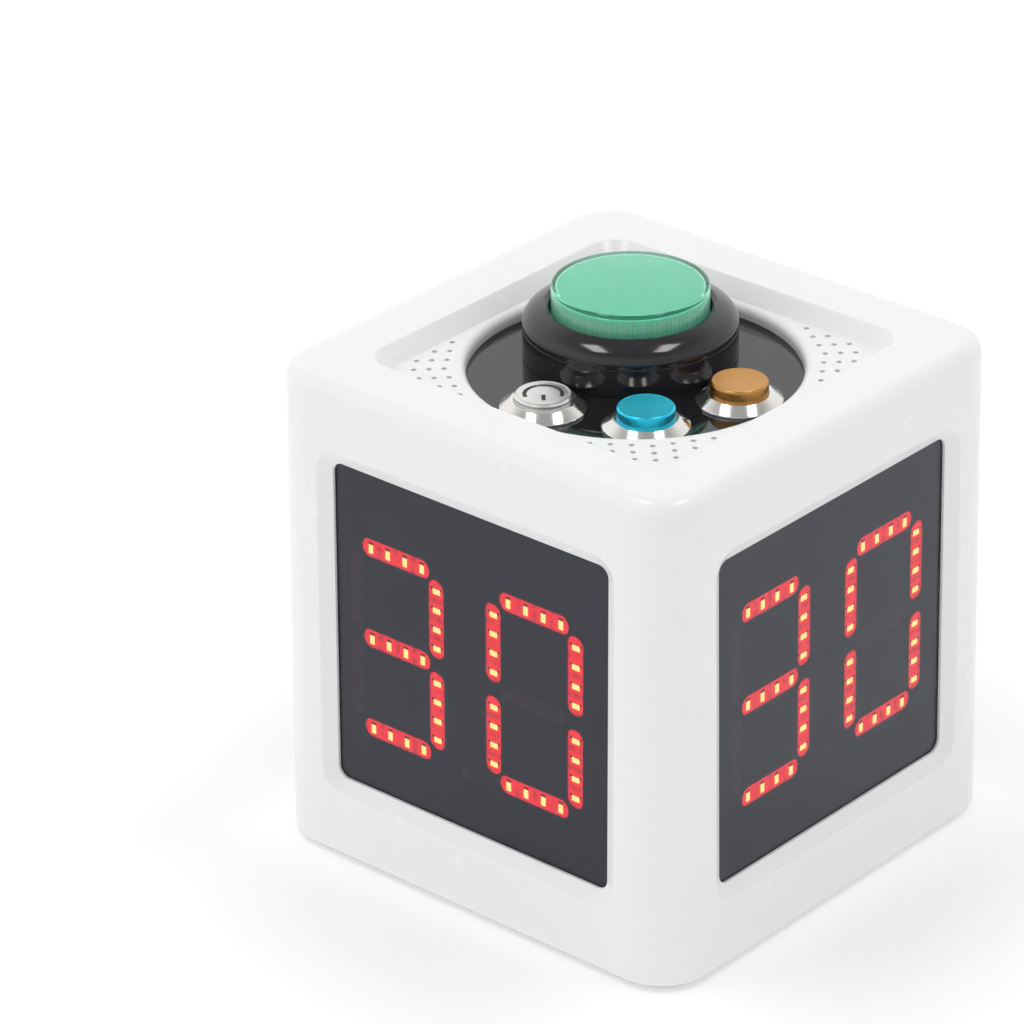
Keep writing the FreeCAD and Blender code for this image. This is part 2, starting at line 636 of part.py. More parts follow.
def make_small_button(name, x, y, latched, angle):
    """One metal push button: body with its cone, cap, seal, nut, spring and terminal block."""
    stop = -SMALL_STOP_DEPTH
    end = -SMALL_THREAD_LONG
    bore_r = SMALL_CAP_R + SLIDE_FIT
    save(name + "_button_body", turned(above(
        [(bore_r, SMALL_RIM_HIGH), (SMALL_RIM_R, SMALL_RIM_HIGH), (SMALL_R, SMALL_EDGE), (SMALL_R, 0),
         (SMALL_THREAD_R, 0), (SMALL_THREAD_R, end), (SMALL_CHAMBER_R, end), (SMALL_CHAMBER_R, stop),
         (bore_r, stop)]), x, y))
    cap_top = SMALL_CAP_UP - latched
    cap_low = stop - SMALL_FLANGE_THICK - END_GAP - latched
    step = cap_low + SMALL_FLANGE_THICK
    cap_solid = turned(above(
        [(0, cap_top - SMALL_CAP_DISH), (SMALL_CAP_R - 0.9, cap_top - SMALL_CAP_DISH / 3),
         (SMALL_CAP_R - 0.4, cap_top), (SMALL_CAP_R, cap_top - 0.4), (SMALL_CAP_R, step),
         (SMALL_FLANGE_R, step), (SMALL_FLANGE_R, cap_low), (0, cap_low)]), x, y)
    if latched:
        symbol = power_symbol(PANEL_Z + cap_top - SMALL_CAP_DISH)
        symbol.translate(V(x, y, 0))
        cap_solid = cap_solid.cut(symbol)
    save(name + "_button_cap", cap_solid)
    block_top = end + TERMINAL_THICK
    spring_mean = SMALL_CAP_R - SMALL_SPRING_GAP - SMALL_SPRING_WIRE_R
    save(name + "_button_spring", coil(spring_mean, SMALL_SPRING_WIRE_R, SMALL_SPRING_TURNS,
                                       PANEL_Z + block_top, PANEL_Z + cap_low, x, y))
    terminal = cylinder(SMALL_CHAMBER_R, PANEL_Z + end, PANEL_Z + block_top, x, y)
    for pin in range(4):
        spot = turn(V(SMALL_CHAMBER_R * 0.6, 0, 0), 90 * pin + angle)
        tab = block(x + spot.x - 0.9, x + spot.x + 0.9, y + spot.y - 0.25, y + spot.y + 0.25,
                    PANEL_Z + end - 5, PANEL_Z + end)
        terminal = terminal.fuse(tab)
    save(name + "_button_terminals", terminal)
    seal_low = PANEL_BOTTOM - SMALL_SEAL_THICK
    save(name + "_button_seal", tube(SMALL_R, SMALL_THREAD_R, seal_low, PANEL_BOTTOM, x, y))
    nut_base = seal_low - SMALL_NUT_THICK
    small_nut = hexagon(2 * (SMALL_THREAD_R + SMALL_NUT_WALL), nut_base, seal_low, x, y, angle)
    small_nut = small_nut.cut(cylinder(SMALL_THREAD_R, nut_base - 1, seal_low + 1, x, y))
    save(name + "_button_nut", small_nut)


for place, small_name in enumerate(small_names):
    spot = small_at[small_name]
    held_down = POWER_LATCH if small_name == "power" else 0
    make_small_button(small_name, spot.x, spot.y, held_down, BUTTON_MIDDLE + BUTTON_SPREAD * (place - 1))


# ---- base plate, feet and screws ----
main_x0, main_x1, main_y0, main_y1 = MAIN_BOARD
main_low = PLATE_TOP + STANDOFF_HIGH
main_high = main_low + BOARD_THICK
main_fixings = [(x, y) for x in (main_x0 + MAIN_SCREW_INSET, main_x1 - MAIN_SCREW_INSET)
                for y in (main_y0 + MAIN_SCREW_INSET, main_y1 - MAIN_SCREW_INSET)]
foot_seat = FOOT_THICK
port_inner = half_width(PORT_Z) - PORT_SET_BACK - PORT_LONG
port_low = FOOT_PROUD + PORT_Z - PORT_HIGH / 2
port_board_low = port_low - 1.2
port_board_half = 8.0

base_plate = cavity(PLATE_GAP, FOOT_PROUD, PLATE_TOP)
for x, y in main_fixings:
    base_plate = base_plate.fuse(cylinder(STANDOFF_R, PLATE_TOP, main_low, x, y))
    base_plate = base_plate.cut(cylinder(BOARD_SCREW_R, PLATE_TOP, main_low + 1, x, y))
for side in (-1, 1):
    rail = block(side * 6 - 1.5, side * 6 + 1.5, port_inner - 3, port_inner + 3, PLATE_TOP, port_board_low)
    base_plate = base_plate.fuse(rail)
plate_cuts = at_corners(BASE_SCREW_AT, lambda x, y: cylinder(BASE_SCREW_R + 0.3, 0, PLATE_TOP + 1, x, y))
plate_cuts += at_corners(BASE_SCREW_AT, lambda x, y: cylinder(
    BASE_HEAD_R + LOOSE_FIT, 0, FOOT_PROUD + BASE_HEAD_DEEP, x, y))
plate_cuts += at_corners(FOOT_AT, lambda x, y: cylinder(FOOT_R + 0.1, 0, foot_seat, x, y))
save("base_plate", base_plate.cut(plate_cuts))
screw_low = FOOT_PROUD + BASE_HEAD_DEEP
screw_high = PLATE_TOP + BASE_BOSS_HIGH - 4
save("base_screws", at_corners(BASE_SCREW_AT, lambda x, y: screw(
    BASE_SCREW_R, BASE_HEAD_R, screw_low, screw_high, BASE_HEAD_DEEP - 0.2, x, y)))
save("rubber_feet", at_corners(FOOT_AT, lambda x, y: turned(
    [(0, 0), (FOOT_R - 0.8, 0), (FOOT_R, 0.8), (FOOT_R, foot_seat), (0, foot_seat)], x, y)))

# ---- main board ----
main_board = block(main_x0, main_x1, main_y0, main_y1, main_low, main_high)
for x, y in main_fixings:
    main_board = main_board.cut(cylinder(BOARD_SCREW_R + 0.2, main_low - 1, main_high + 1, x, y))
    pin = cylinder(BOARD_SCREW_R, PLATE_TOP + 0.5, main_high, x, y)
    board_screws.append(pin.fuse(cylinder(SCREW_HEAD_R, main_high, main_high + SCREW_HEAD_HIGH, x, y)))
save("main_board", main_board)
save("board_screws", board_screws)
chips = [block(-6, 6, 14, 26, main_high, main_high + 1.4)]
for column in range(4):
    left = -30 + 13 * column + (10 if column > 1 else 0)
    chips.append(block(left, left + 10, 27.5, 31.5, main_high, main_high + 1.6))
    chips.append(block(left, left + 9, 5.5, 10, main_high, main_high + 6))
for x, y in ((-20, 19), (14, 19), (24, 19)):
    chips.append(cylinder(3.2, main_high, main_high + 7, x, y))
save("main_board_chips", chips)

# ---- battery, loudspeaker and charging port ----
cell_z = PLATE_TOP + HOLDER_WALL + CELL_R
cell_half = CELL_LONG / 2
cell = Part.makeCylinder(CELL_R, CELL_LONG, V(-cell_half, CELL_Y, cell_z), V(1, 0, 0))
save("battery_cell", cell.fuse(Part.makeCylinder(3, 1, V(cell_half, CELL_Y, cell_z), V(1, 0, 0))))
tray_half = cell_half + 1 + HOLDER_WALL
tray_side = CELL_R + HOLDER_WALL
tray = block(-tray_half, tray_half, CELL_Y - tray_side, CELL_Y + tray_side, PLATE_TOP, cell_z + 3)
hollow = Part.makeCylinder(CELL_R + SLIDE_FIT, CELL_LONG + 2, V(-cell_half - 1, CELL_Y, cell_z), V(1, 0, 0))
mouth = block(-cell_half - 1, cell_half + 1, CELL_Y - CELL_R - SLIDE_FIT, CELL_Y + CELL_R + SLIDE_FIT,
              cell_z, cell_z + 10)
save("battery_holder", tray.cut(hollow).cut(mouth))

speaker_low = PANEL_Z - SPEAKER_THICK
save("loudspeaker", turned([(0, speaker_low), (SPEAKER_R * 0.7, speaker_low), (SPEAKER_R, speaker_low + 1),
                            (SPEAKER_R, PANEL_Z), (SPEAKER_R - 1, PANEL_Z), (SPEAKER_R - 1, PANEL_Z - 0.8),
                            (0, PANEL_Z - 1.4)], SPEAKER_AT, SPEAKER_AT))

port = port_opening(0, port_inner, port_inner + PORT_LONG)
port = port.cut(port_opening(-0.3, port_inner + 1, port_inner + PORT_LONG + 1))
tongue = block(-3.3, 3.3, port_inner + 0.5, port_inner + PORT_LONG - 1.2,
               FOOT_PROUD + PORT_Z - 0.35, FOOT_PROUD + PORT_Z + 0.35)
save("charging_port", port.fuse(tongue))
save("charging_board", block(-port_board_half, port_board_half, port_inner - 6, port_inner + PORT_LONG - 4.6,
                             port_board_low, port_low))

print("nodes", len(os.listdir("parts")))
print("panel top", PANEL_Z, "large", round(LX, 3), round(LY, 3), "springs", PANEL_Z - GUIDE_TOP)
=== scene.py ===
import math

import bmesh
import bpy
from mathutils import Matrix, Vector


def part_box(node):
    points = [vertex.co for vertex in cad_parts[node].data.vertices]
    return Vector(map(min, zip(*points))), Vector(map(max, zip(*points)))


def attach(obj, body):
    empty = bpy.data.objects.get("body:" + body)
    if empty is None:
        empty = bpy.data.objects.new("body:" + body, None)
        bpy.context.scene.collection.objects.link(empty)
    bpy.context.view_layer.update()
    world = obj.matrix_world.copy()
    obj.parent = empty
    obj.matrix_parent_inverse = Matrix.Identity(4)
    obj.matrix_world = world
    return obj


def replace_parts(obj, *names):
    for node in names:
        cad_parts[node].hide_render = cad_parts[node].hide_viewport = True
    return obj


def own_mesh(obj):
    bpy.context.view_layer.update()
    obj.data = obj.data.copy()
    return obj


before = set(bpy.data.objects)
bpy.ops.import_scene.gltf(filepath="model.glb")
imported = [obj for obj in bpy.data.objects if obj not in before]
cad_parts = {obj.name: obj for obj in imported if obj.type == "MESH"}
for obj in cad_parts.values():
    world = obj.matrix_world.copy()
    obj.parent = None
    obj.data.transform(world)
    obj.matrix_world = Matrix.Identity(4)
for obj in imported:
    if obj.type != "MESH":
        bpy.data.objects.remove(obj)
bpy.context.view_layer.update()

MM = 0.001
UP = Vector((0, 0, 1))

# ---- studio ----
# The clock stands on a sheet of pale paper in a white tent. A long lens looks down on its front right edge,
# and two narrow light boxes hang overhead, left and right of the camera.
CAMERA_TURN = math.radians(41.355)
CAMERA_RISE = math.radians(27.186)
CAMERA_ROLL = math.radians(-0.683)
CAMERA_AWAY = 1.1291
CAMERA_LEFT = 0.02552
CAMERA_UP = 0.01446
CAMERA_LENS = 191.67
AIM_HEIGHT = 0.0551
TENT_LIGHT = 1.10
TENT_FADE = 0.30            # how much dimmer the tent is on its right
ROOF_LIGHT = 0.42           # the tent's roof, as a share of its walls
BOX_ACROSS = 0.17
BOX_ALONG = 0.40
BOX_OUT = 0.34
BOX_HEIGHT = 1.05
BOX_WATTS = 1.9
PAPER_HALF = 4.0
PAPER_GLOW = 0.22

scene = bpy.context.scene
scene.view_settings.view_transform = "Standard"
to_camera = Vector((math.sin(CAMERA_TURN) * math.cos(CAMERA_RISE),
                    -math.cos(CAMERA_TURN) * math.cos(CAMERA_RISE), math.sin(CAMERA_RISE)))
level_right = Vector((math.cos(CAMERA_TURN), math.sin(CAMERA_TURN), 0))
level_up = to_camera.cross(level_right)
camera_right = level_right * math.cos(CAMERA_ROLL) + level_up * math.sin(CAMERA_ROLL)
camera_up = level_up * math.cos(CAMERA_ROLL) - level_right * math.sin(CAMERA_ROLL)
camera_place = (UP * AIM_HEIGHT - camera_right * CAMERA_LEFT + camera_up * CAMERA_UP
                + to_camera * CAMERA_AWAY)
camera = bpy.data.objects.new("camera", bpy.data.cameras.new("camera"))
camera.data.lens = CAMERA_LENS
camera.data.sensor_width = 36.0
camera.data.clip_end = 20.0
camera.matrix_world = (Matrix.Translation(camera_place)
                       @ Matrix((camera_right, camera_up, to_camera)).transposed().to_4x4())
scene.collection.objects.link(camera)
scene.camera = camera


def feed(tree, socket, value):
    """Links another node's socket to this one, or sets it to a plain value."""
    if isinstance(value, bpy.types.NodeSocket):
        tree.links.new(value, socket)
    elif isinstance(value, (tuple, list)) and len(value) == 3 and socket.type == "RGBA":
        socket.default_value = (*value, 1.0)
    else:
        socket.default_value = value


def add(tree, kind, inputs=None, **settings):
    """A shader node: settings are its own properties, inputs are values or other nodes' sockets."""
    made = tree.nodes.new("ShaderNode" + kind)
    for name, value in settings.items():
        setattr(made, name, value)
    for name, value in (inputs or {}).items():
        feed(tree, made.inputs[name], value)
    return made


def calc(tree, operation, *values):
    """One step of arithmetic on plain values or sockets."""
    return add(tree, "Math", dict(enumerate(values)), operation=operation).outputs[0]


def scaled(tree, value, low, high, new_low, new_high):
    """The value moved from one range to another, and held inside the new one."""
    return add(tree, "MapRange", {"Value": value, "From Min": low, "From Max": high, "To Min": new_low,
                                  "To Max": new_high}).outputs["Result"]


def mixed(tree, share, first, second, way="MIX"):
    """Two colours mixed by a share from 0 to 1."""
    mix = add(tree, "Mix", data_type="RGBA", blend_type=way)
    for socket, value in ((mix.inputs[0], share), (mix.inputs[6], first), (mix.inputs[7], second)):
        feed(tree, socket, value)
    return mix.outputs[2]


def object_place(tree):
    """The object's own coordinates, which stay on the surface."""
    return add(tree, "TexCoord").outputs["Object"]


def roughen(tree, shader, strength, height, distance=0.0001):
    """Feeds the shader's normal from a bump."""
    bump = add(tree, "Bump", {"Strength": strength, "Distance": distance, "Height": height})
    feed(tree, shader.inputs["Normal"], bump.outputs[0])


def new_material(name, **sockets):
    """An empty surface with its shader's constant sockets set. Underscores stand for spaces."""
    material = bpy.data.materials.new(name)
    material.use_nodes = True
    shader = material.node_tree.nodes["Principled BSDF"]
    for label, value in sockets.items():
        feed(material.node_tree, shader.inputs[label.replace("_", " ")], value)
    return material, material.node_tree, shader


def new_piece(name, bm, body, slot, *materials):
    """Turns a finished bmesh into a piece that rides on a body."""
    mesh = bpy.data.meshes.new(name)
    bm.normal_update()
    bm.to_mesh(mesh)
    bm.free()
    mesh.polygons.foreach_set("use_smooth", [True] * len(mesh.polygons))
    mesh.set_sharp_from_angle(angle=math.radians(38))
    for material in materials:
        mesh.materials.append(material)
    piece = bpy.data.objects.new(name, mesh)
    scene.collection.objects.link(piece)
    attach(piece, body)
    return piece


tent = bpy.data.worlds.new("white_tent")
scene.world = tent
tent.use_nodes = True
tree = tent.node_tree
compass = add(tree, "SeparateXYZ", {0: add(tree, "TexCoord").outputs["Generated"]}).outputs
walls = scaled(tree, compass["X"], -0.2, 1.0, TENT_LIGHT, TENT_LIGHT * (1 - TENT_FADE))
glow = calc(tree, "MULTIPLY", walls, scaled(tree, compass["Z"], 0.60, 0.86, 1.0, ROOF_LIGHT))
seen = add(tree, "LightPath").outputs["Is Camera Ray"]
feed(tree, tree.nodes["Background"].inputs["Strength"], add(
    tree, "Mix", {0: seen, 2: glow, 3: 1.0}).outputs[0])
tree.nodes["Background"].inputs["Color"].default_value = (1, 1, 1, 1)

for side in (-1, 1):
    box = bpy.data.lights.new("light_box", "AREA")
    box.shape = "RECTANGLE"
    box.size = BOX_ACROSS
    box.size_y = BOX_ALONG
    box.energy = BOX_WATTS
    hung = bpy.data.objects.new("light_box", box)
    hung.location = level_right * side * BOX_OUT + UP * BOX_HEIGHT
    facing = (hung.location - UP * AIM_HEIGHT).normalized()
    across = level_right - facing * level_right.dot(facing)
    across.normalize()
    hung.rotation_euler = Matrix((across, facing.cross(across), facing)).transposed().to_euler()
    scene.collection.objects.link(hung)

paper, tree, shader = new_material("pale_paper", Roughness=0.9, Emission_Color=(1, 1, 1),
                                   Emission_Strength=PAPER_GLOW)
fibre = add(tree, "TexNoise", {"Vector": object_place(tree), "Scale": 900.0}).outputs[0]
feed(tree, shader.inputs["Base Color"], mixed(tree, fibre, (0.84, 0.84, 0.84), (0.86, 0.86, 0.86)))
sheet = bmesh.new()
bmesh.ops.create_grid(sheet, x_segments=8, y_segments=8, size=PAPER_HALF)
floor_mesh = bpy.data.meshes.new("floor")
sheet.to_mesh(floor_mesh)
sheet.free()
floor_mesh.materials.append(paper)
floor = bpy.data.objects.new("floor", floor_mesh)
scene.collection.objects.link(floor)

# ---- housing ----
# One glossy white ABS moulding, open below, with a shallow square pan in its top, four window openings
# with sloped frames, and corner grilles of small round holes. Its skin is very slightly uneven.
ABS_WHITE = (0.835, 0.835, 0.835)
ABS_GLOSS = 0.27


def new_group(name, inputs, outputs):
    """A node group with its sockets. Inputs are (label, kind, value) and outputs (label, kind)."""
    group = bpy.data.node_groups.new(name, "ShaderNodeTree")
    for label, kind, value in inputs:
        socket = group.interface.new_socket(label, in_out="INPUT", socket_type="NodeSocket" + kind)
        if value is not None:
            socket.default_value = value
    for label, kind in outputs:
        group.interface.new_socket(label, in_out="OUTPUT", socket_type="NodeSocket" + kind)
    return group, group.nodes.new("NodeGroupInput").outputs, group.nodes.new("NodeGroupOutput").inputs


def moulded_skin():
    """Group: fine moulded texture, slow unevenness, and a few specks of dust."""
    group, given, result = new_group(
        "moulded_skin",
        [("Vector", "Vector", None), ("Grain", "Float", 2500.0), ("Dust", "Float", 0.02)],
        [("Height", "Float"), ("Unevenness", "Float"), ("Specks", "Float")])
    fine = add(group, "TexNoise", {"Vector": given["Vector"], "Scale": given["Grain"], "Detail": 3.0})
    slow = add(group, "TexNoise", {"Vector": given["Vector"], "Scale": 120.0, "Detail": 5.0})
    cells = add(group, "TexVoronoi", {"Vector": given["Vector"], "Scale": 700.0})
    chosen = add(group, "SeparateColor", {0: cells.outputs["Color"]}).outputs[0]
    few = calc(group, "LESS_THAN", chosen, given["Dust"])
    small = scaled(group, cells.outputs["Distance"], 0.08, 0.2, 1.0, 0.0)
    feed(group, result["Height"], fine.outputs[0])
    feed(group, result["Unevenness"], scaled(group, slow.outputs[0], 0.3, 0.7, 0.0, 1.0))
    feed(group, result["Specks"], calc(group, "MULTIPLY", few, small))
    return group


SKIN = moulded_skin()


def use(tree, group, inputs):
    """A group placed in a material with its own values."""
    made = tree.nodes.new("ShaderNodeGroup")
    made.node_tree = group
    for label, value in inputs.items():
        feed(tree, made.inputs[label], value)
    return made.outputs


def moulded(name, colour, gloss, grain=2500.0, texture=0.04, uneven=0.03, dust=0.02,
            dust_colour=(0.45, 0.44, 0.42), drift=0.06, **sockets):
    """Moulded plastic or rubber: its colour drifts a little, and its skin is finely textured."""
    material, tree, shader = new_material(name, **sockets)
    skin = use(tree, SKIN, {"Vector": object_place(tree), "Grain": grain, "Dust": dust})
    darker = tuple(part * (1 - uneven) for part in colour)
    lighter = tuple(min(1.0, part * (1 + uneven)) for part in colour)
    shade = mixed(tree, skin["Unevenness"], darker, lighter)
    feed(tree, shader.inputs["Base Color"], mixed(tree, skin["Specks"], shade, dust_colour))
    feed(tree, shader.inputs["Roughness"],
         scaled(tree, skin["Unevenness"], 0.0, 1.0, gloss * (1 - drift), gloss * (1 + drift)))
    roughen(tree, shader, texture, skin["Height"], 0.0002)
    return material


def finish(material, *names):
    """Gives CAD nodes their material."""
    for name in names:
        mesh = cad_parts[name].data
        mesh.materials.clear()
        mesh.materials.append(material)


WHITE_ABS = moulded("white_abs", ABS_WHITE, ABS_GLOSS, grain=1400.0, texture=0.012, uneven=0.003, dust=0.006,
                    dust_colour=(0.70, 0.69, 0.68), drift=0.015, Subsurface_Weight=0.35,
                    Subsurface_Scale=0.0008,
                    Subsurface_Radius=(1.0, 0.95, 0.9))
finish(WHITE_ABS, "housing")

# ---- windows ----
# Four flat panes of dark smoked acrylic, clamped behind the openings. They hide the black mask when the
# segments are off and let the red light through.
SMOKE = (0.25, 0.25, 0.28)
SIDES = ("front", "right", "back", "left")
WINDOW_THICK = 0.8 * MM
PANE_EDGE = 0.15 * MM       # polished bevel round the pane
PANE_PLAY = 0.06 * MM       # between the pane and the mask behind it
PANE_CORNER = 2.6 * MM

smoked, tree, shader = new_material("smoked_acrylic", Transmission_Weight=1.0, IOR=1.5,
                                    Specular_Tint=(0.74, 0.80, 0.96))
skin = use(tree, SKIN, {"Vector": object_place(tree), "Grain": 300.0, "Dust": 0.01})
feed(tree, shader.inputs["Base Color"],
     mixed(tree, skin["Unevenness"], SMOKE, tuple(c * 1.08 for c in SMOKE)))
feed(tree, shader.inputs["Roughness"], scaled(tree, skin["Unevenness"], 0.0, 1.0, 0.008, 0.02))


def side_frame(side):
    """Matrix of a side: x right, y up and z outwards, with its origin in the middle of the window pane."""
    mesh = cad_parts["window_" + side].data
    middle = sum((vertex.co for vertex in mesh.vertices), Vector()) / len(mesh.vertices)
    away = Vector((middle.x, middle.y, 0)).normalized()
    widest = max((face for face in mesh.polygons if face.normal.dot(away) > 0.5), key=lambda face: face.area)
    out = widest.normal.copy()
    across = UP.cross(out).normalized()
    return Matrix.Translation(middle) @ Matrix((across, out.cross(across), out)).transposed().to_4x4()


def square_outline(half, corner, steps=6):
    """Points round a square with round corners."""
    points = []
    for quarter, (sx, sy) in enumerate(((1, 1), (-1, 1), (-1, -1), (1, -1))):
        for step in range(steps + 1):
            angle = math.radians(90 * (quarter + step / steps))
            points.append((sx * (half - corner) + corner * math.cos(angle),
                           sy * (half - corner) + corner * math.sin(angle)))
    return points


def stack_rings(bm, rings, matrix=Matrix()):
    """Skins a stack of outlines with equal point counts, and closes both ends."""
    rows = [[bm.verts.new(matrix @ Vector(point)) for point in ring] for ring in rings]
    count = len(rows[0])
    for low, high in zip(rows, rows[1:]):
        for k in range(count):
            bm.faces.new((low[k], low[(k + 1) % count], high[(k + 1) % count], high[k]))
    bm.faces.new(rows[-1])
    bm.faces.new(list(reversed(rows[0])))
    return rows


for side in SIDES:
    low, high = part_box("window_" + side)
    half = max(high.x - low.x, high.y - low.y) / 2
    pane = bmesh.new()
    inset = ((PANE_EDGE, -WINDOW_THICK / 2 + PANE_PLAY), (0, -WINDOW_THICK / 2 + PANE_PLAY + PANE_EDGE),
             (0, WINDOW_THICK / 2 - PANE_EDGE), (PANE_EDGE, WINDOW_THICK / 2))
    stack_rings(pane, [[(x, y, z) for x, y in square_outline(half - back, PANE_CORNER - back)]
                       for back, z in inset], side_frame(side))
    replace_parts(new_piece("smoked_pane_" + side, pane, "root", "smoked_acrylic", smoked), "window_" + side)

# ---- displays ----
# Behind each window a black mask with capsule slots sits on a circuit board. Each slot holds four LED chips
# in a red diffusing fill, and the digits read 30. Unlit chips and the fill of unlit slots carry a faint
# painted red glow, so they show as faint dots.
MASK_THICK = 1.2 * MM
DIGIT_OFFSET = 18.4 * MM
COLUMN_OFFSET = 10.8 * MM
ROW_OFFSET = 20.8 * MM
UPRIGHT_OFFSET = 10.5 * MM
SLOT_R = 2.2 * MM
LEVEL_LENGTH = 18.5 * MM
UPRIGHT_LENGTH = 18.0 * MM
LEVEL_PITCH = 4.6 * MM
UPRIGHT_PITCH = 4.35 * MM
CHIPS = 4
CHIP_LONG = 2.0 * MM
CHIP_SHORT = 1.25 * MM
CHIP_HIGH = 0.9 * MM
CHIP_DROP = 0.3 * MM
DIGIT_SHIFT = {"front": (-2.3 * MM, -1.8 * MM), "right": (-0.3 * MM, 0.2 * MM)}   # off the pane's middle
POINT_DROP = 22.0 * MM
POINT_R = 1.5 * MM
FILL_HIGH = 0.82 * MM
FILL_GLOW = 3.6
CHIP_GLOW = 4.6
SLOT_PLAY = 0.02 * MM
LIT_RED = (1.0, 0.018, 0.024)
LIT_EDGE = (0.42, 0.012, 0.06)
HOT_YELLOW = (1.0, 0.66, 0.16)

black_mask = moulded("mask_black", (0.012, 0.012, 0.014), 0.75, grain=4000.0, texture=0.02, uneven=0.1)
finish(black_mask, *("segment_mask_" + side for side in SIDES))


def segments():
    """Each display segment as (x, y, upright, lit)."""
    found = []
    for digit, dark in ((-DIGIT_OFFSET, ((-1, -1), (-1, 1))), (DIGIT_OFFSET, ((0, 0),))):
        for row in (-1, 0, 1):
            found.append((digit, row * ROW_OFFSET, False, (0, row) not in dark))
        for column in (-1, 1):
            for half in (-1, 1):
                found.append((digit + column * COLUMN_OFFSET, half * UPRIGHT_OFFSET, True,
                              (column, half) not in dark))
    return found


def soft_block(bm, matrix, size, rounding, slot):
    """A block with rounded edges; the matrix puts its middle in place."""
    made = bmesh.ops.create_cube(bm, size=1.0, matrix=matrix @ Matrix.Diagonal((*size, 1.0)))
    faces = {face for vertex in made["verts"] for face in vertex.link_faces}
    edges = {edge for vertex in made["verts"] for edge in vertex.link_edges}
    for face in faces:
        face.material_index = slot
    bmesh.ops.bevel(bm, geom=list(edges), offset=rounding, segments=2, affect="EDGES", profile=0.6,
                    material=slot)


def capsule_fill(bm, layer, matrix, length, radius, low, high, upright, pitch, lit):
    """Diffusing fill of one slot. The layer holds places along it in chip pitches, across it, and lit."""
    reach = length / 2 - radius
    rim = []
    for end, start in ((1, -90), (-1, 90)):
        for step in range(13):
            angle = math.radians(start + 15 * step)
            rim.append((end * reach + radius * math.cos(angle), radius * math.sin(angle)))

    def vertex(along, across, height):
        spot = (-across, along, height) if upright else (along, across, height)
        made = bm.verts.new(matrix @ Vector(spot))
        made[layer] = Vector((along / pitch + (CHIPS - 1) / 2, across / radius, lit))
        return made

    outer = [vertex(a, b, low) for a, b in rim]
    edge = [vertex(a, b, high - 0.1 * MM) for a, b in rim]
    inner = [vertex(a * 0.985, b * 0.94, high) for a, b in rim]
    spine = [vertex(a, 0.0, high + 0.03 * MM) for a in (reach, -reach)]
    count = len(rim)
    for ring, following in ((outer, edge), (edge, inner)):
        for k in range(count):
            n = (k + 1) % count
            bm.faces.new((ring[k], ring[n], following[n], following[k]))
    half = count // 2
    for end, first in ((0, 0), (1, half)):
        for k in range(first, first + half - 1):
            bm.faces.new((inner[k], inner[k + 1], spine[end]))
    bm.faces.new((inner[half - 1], inner[half], spine[1], spine[0]))
    bm.faces.new((inner[count - 1], inner[0], spine[0], spine[1]))
    bm.faces.new(list(reversed(outer)))


fill_red, tree, shader = new_material("red_fill", Emission_Strength=FILL_GLOW)
place = add(tree, "Attribute", attribute_name="slot_place").outputs["Vector"]
along, across, lit = add(tree, "SeparateXYZ", {0: place}).outputs
cloud = add(tree, "TexNoise", {"Vector": object_place(tree), "Scale": 600.0,
                               "Detail": 2.0}).outputs[0]
from_chip = calc(tree, "FRACT", calc(tree, "ADD", along, 20.5))
between = calc(tree, "ABSOLUTE", calc(tree, "SUBTRACT", from_chip, 0.5))
patch = calc(tree, "MULTIPLY", scaled(tree, between, 0.28, 0.5, 0.0, 1.0),
             scaled(tree, cloud, 0.38, 0.6, 0.0, 1.0))
bright = scaled(tree, patch, 0.0, 1.0, 1.0, 0.42)
rim = scaled(tree, calc(tree, "ABSOLUTE", across), 0.72, 1.0, 0.0, 1.0)
red = mixed(tree, rim, LIT_RED, LIT_EDGE)
dimming = add(tree, "CombineColor", {0: bright, 1: bright, 2: bright}).outputs[0]
red = mixed(tree, 1.0, red, dimming, "MULTIPLY")
# The fill of unlit slots, and of the point, carries a faint painted red glow instead of none.
feed(tree, shader.inputs["Emission Color"], mixed(tree, lit, (0.006, 0.0008, 0.001), red))
feed(tree, shader.inputs["Base Color"], mixed(tree, cloud, (0.05, 0.006, 0.008), (0.09, 0.01, 0.012)))
feed(tree, shader.inputs["Roughness"], scaled(tree, cloud, 0.3, 0.7, 0.25, 0.4))


def chip_face(name, colour, glow_colour, strength):
    """Lens of an LED chip, a little uneven in colour."""
    material, tree, shader = new_material(name, Emission_Strength=strength, Roughness=0.25)
    cloud = add(tree, "TexNoise", {"Vector": object_place(tree), "Scale": 2200.0}).outputs[0]
    feed(tree, shader.inputs["Base Color"], mixed(tree, cloud, colour, tuple(c * 0.8 for c in colour)))
    share = scaled(tree, cloud, 0.35, 0.65, 0.0, 1.0)
    feed(tree, shader.inputs["Emission Color"],
         mixed(tree, share, glow_colour, tuple(c * f for c, f in zip(glow_colour, (1.0, 1.25, 1.6)))))
    return material


chip_lit = chip_face("chip_lit", (0.9, 0.6, 0.2), HOT_YELLOW, CHIP_GLOW)
# Unlit chips carry a faint painted red glow, though their LEDs are off.
chip_unlit_painted_glow = chip_face("chip_unlit_painted_glow", (0.22, 0.13, 0.14), (0.02, 0.006, 0.008), 1.0)
chip_pad = moulded("chip_pad", (0.05, 0.012, 0.012), 0.5, grain=6000.0, texture=0.1, uneven=0.3)


def chip_spots(x, y, upright):
    """Middles of a segment's chips, on the side's own axes."""
    pitch = UPRIGHT_PITCH if upright else LEVEL_PITCH
    for k in range(CHIPS):
        step = (k - (CHIPS - 1) / 2) * pitch
        yield (x, y + step - CHIP_DROP) if upright else (x + step, y - CHIP_DROP)


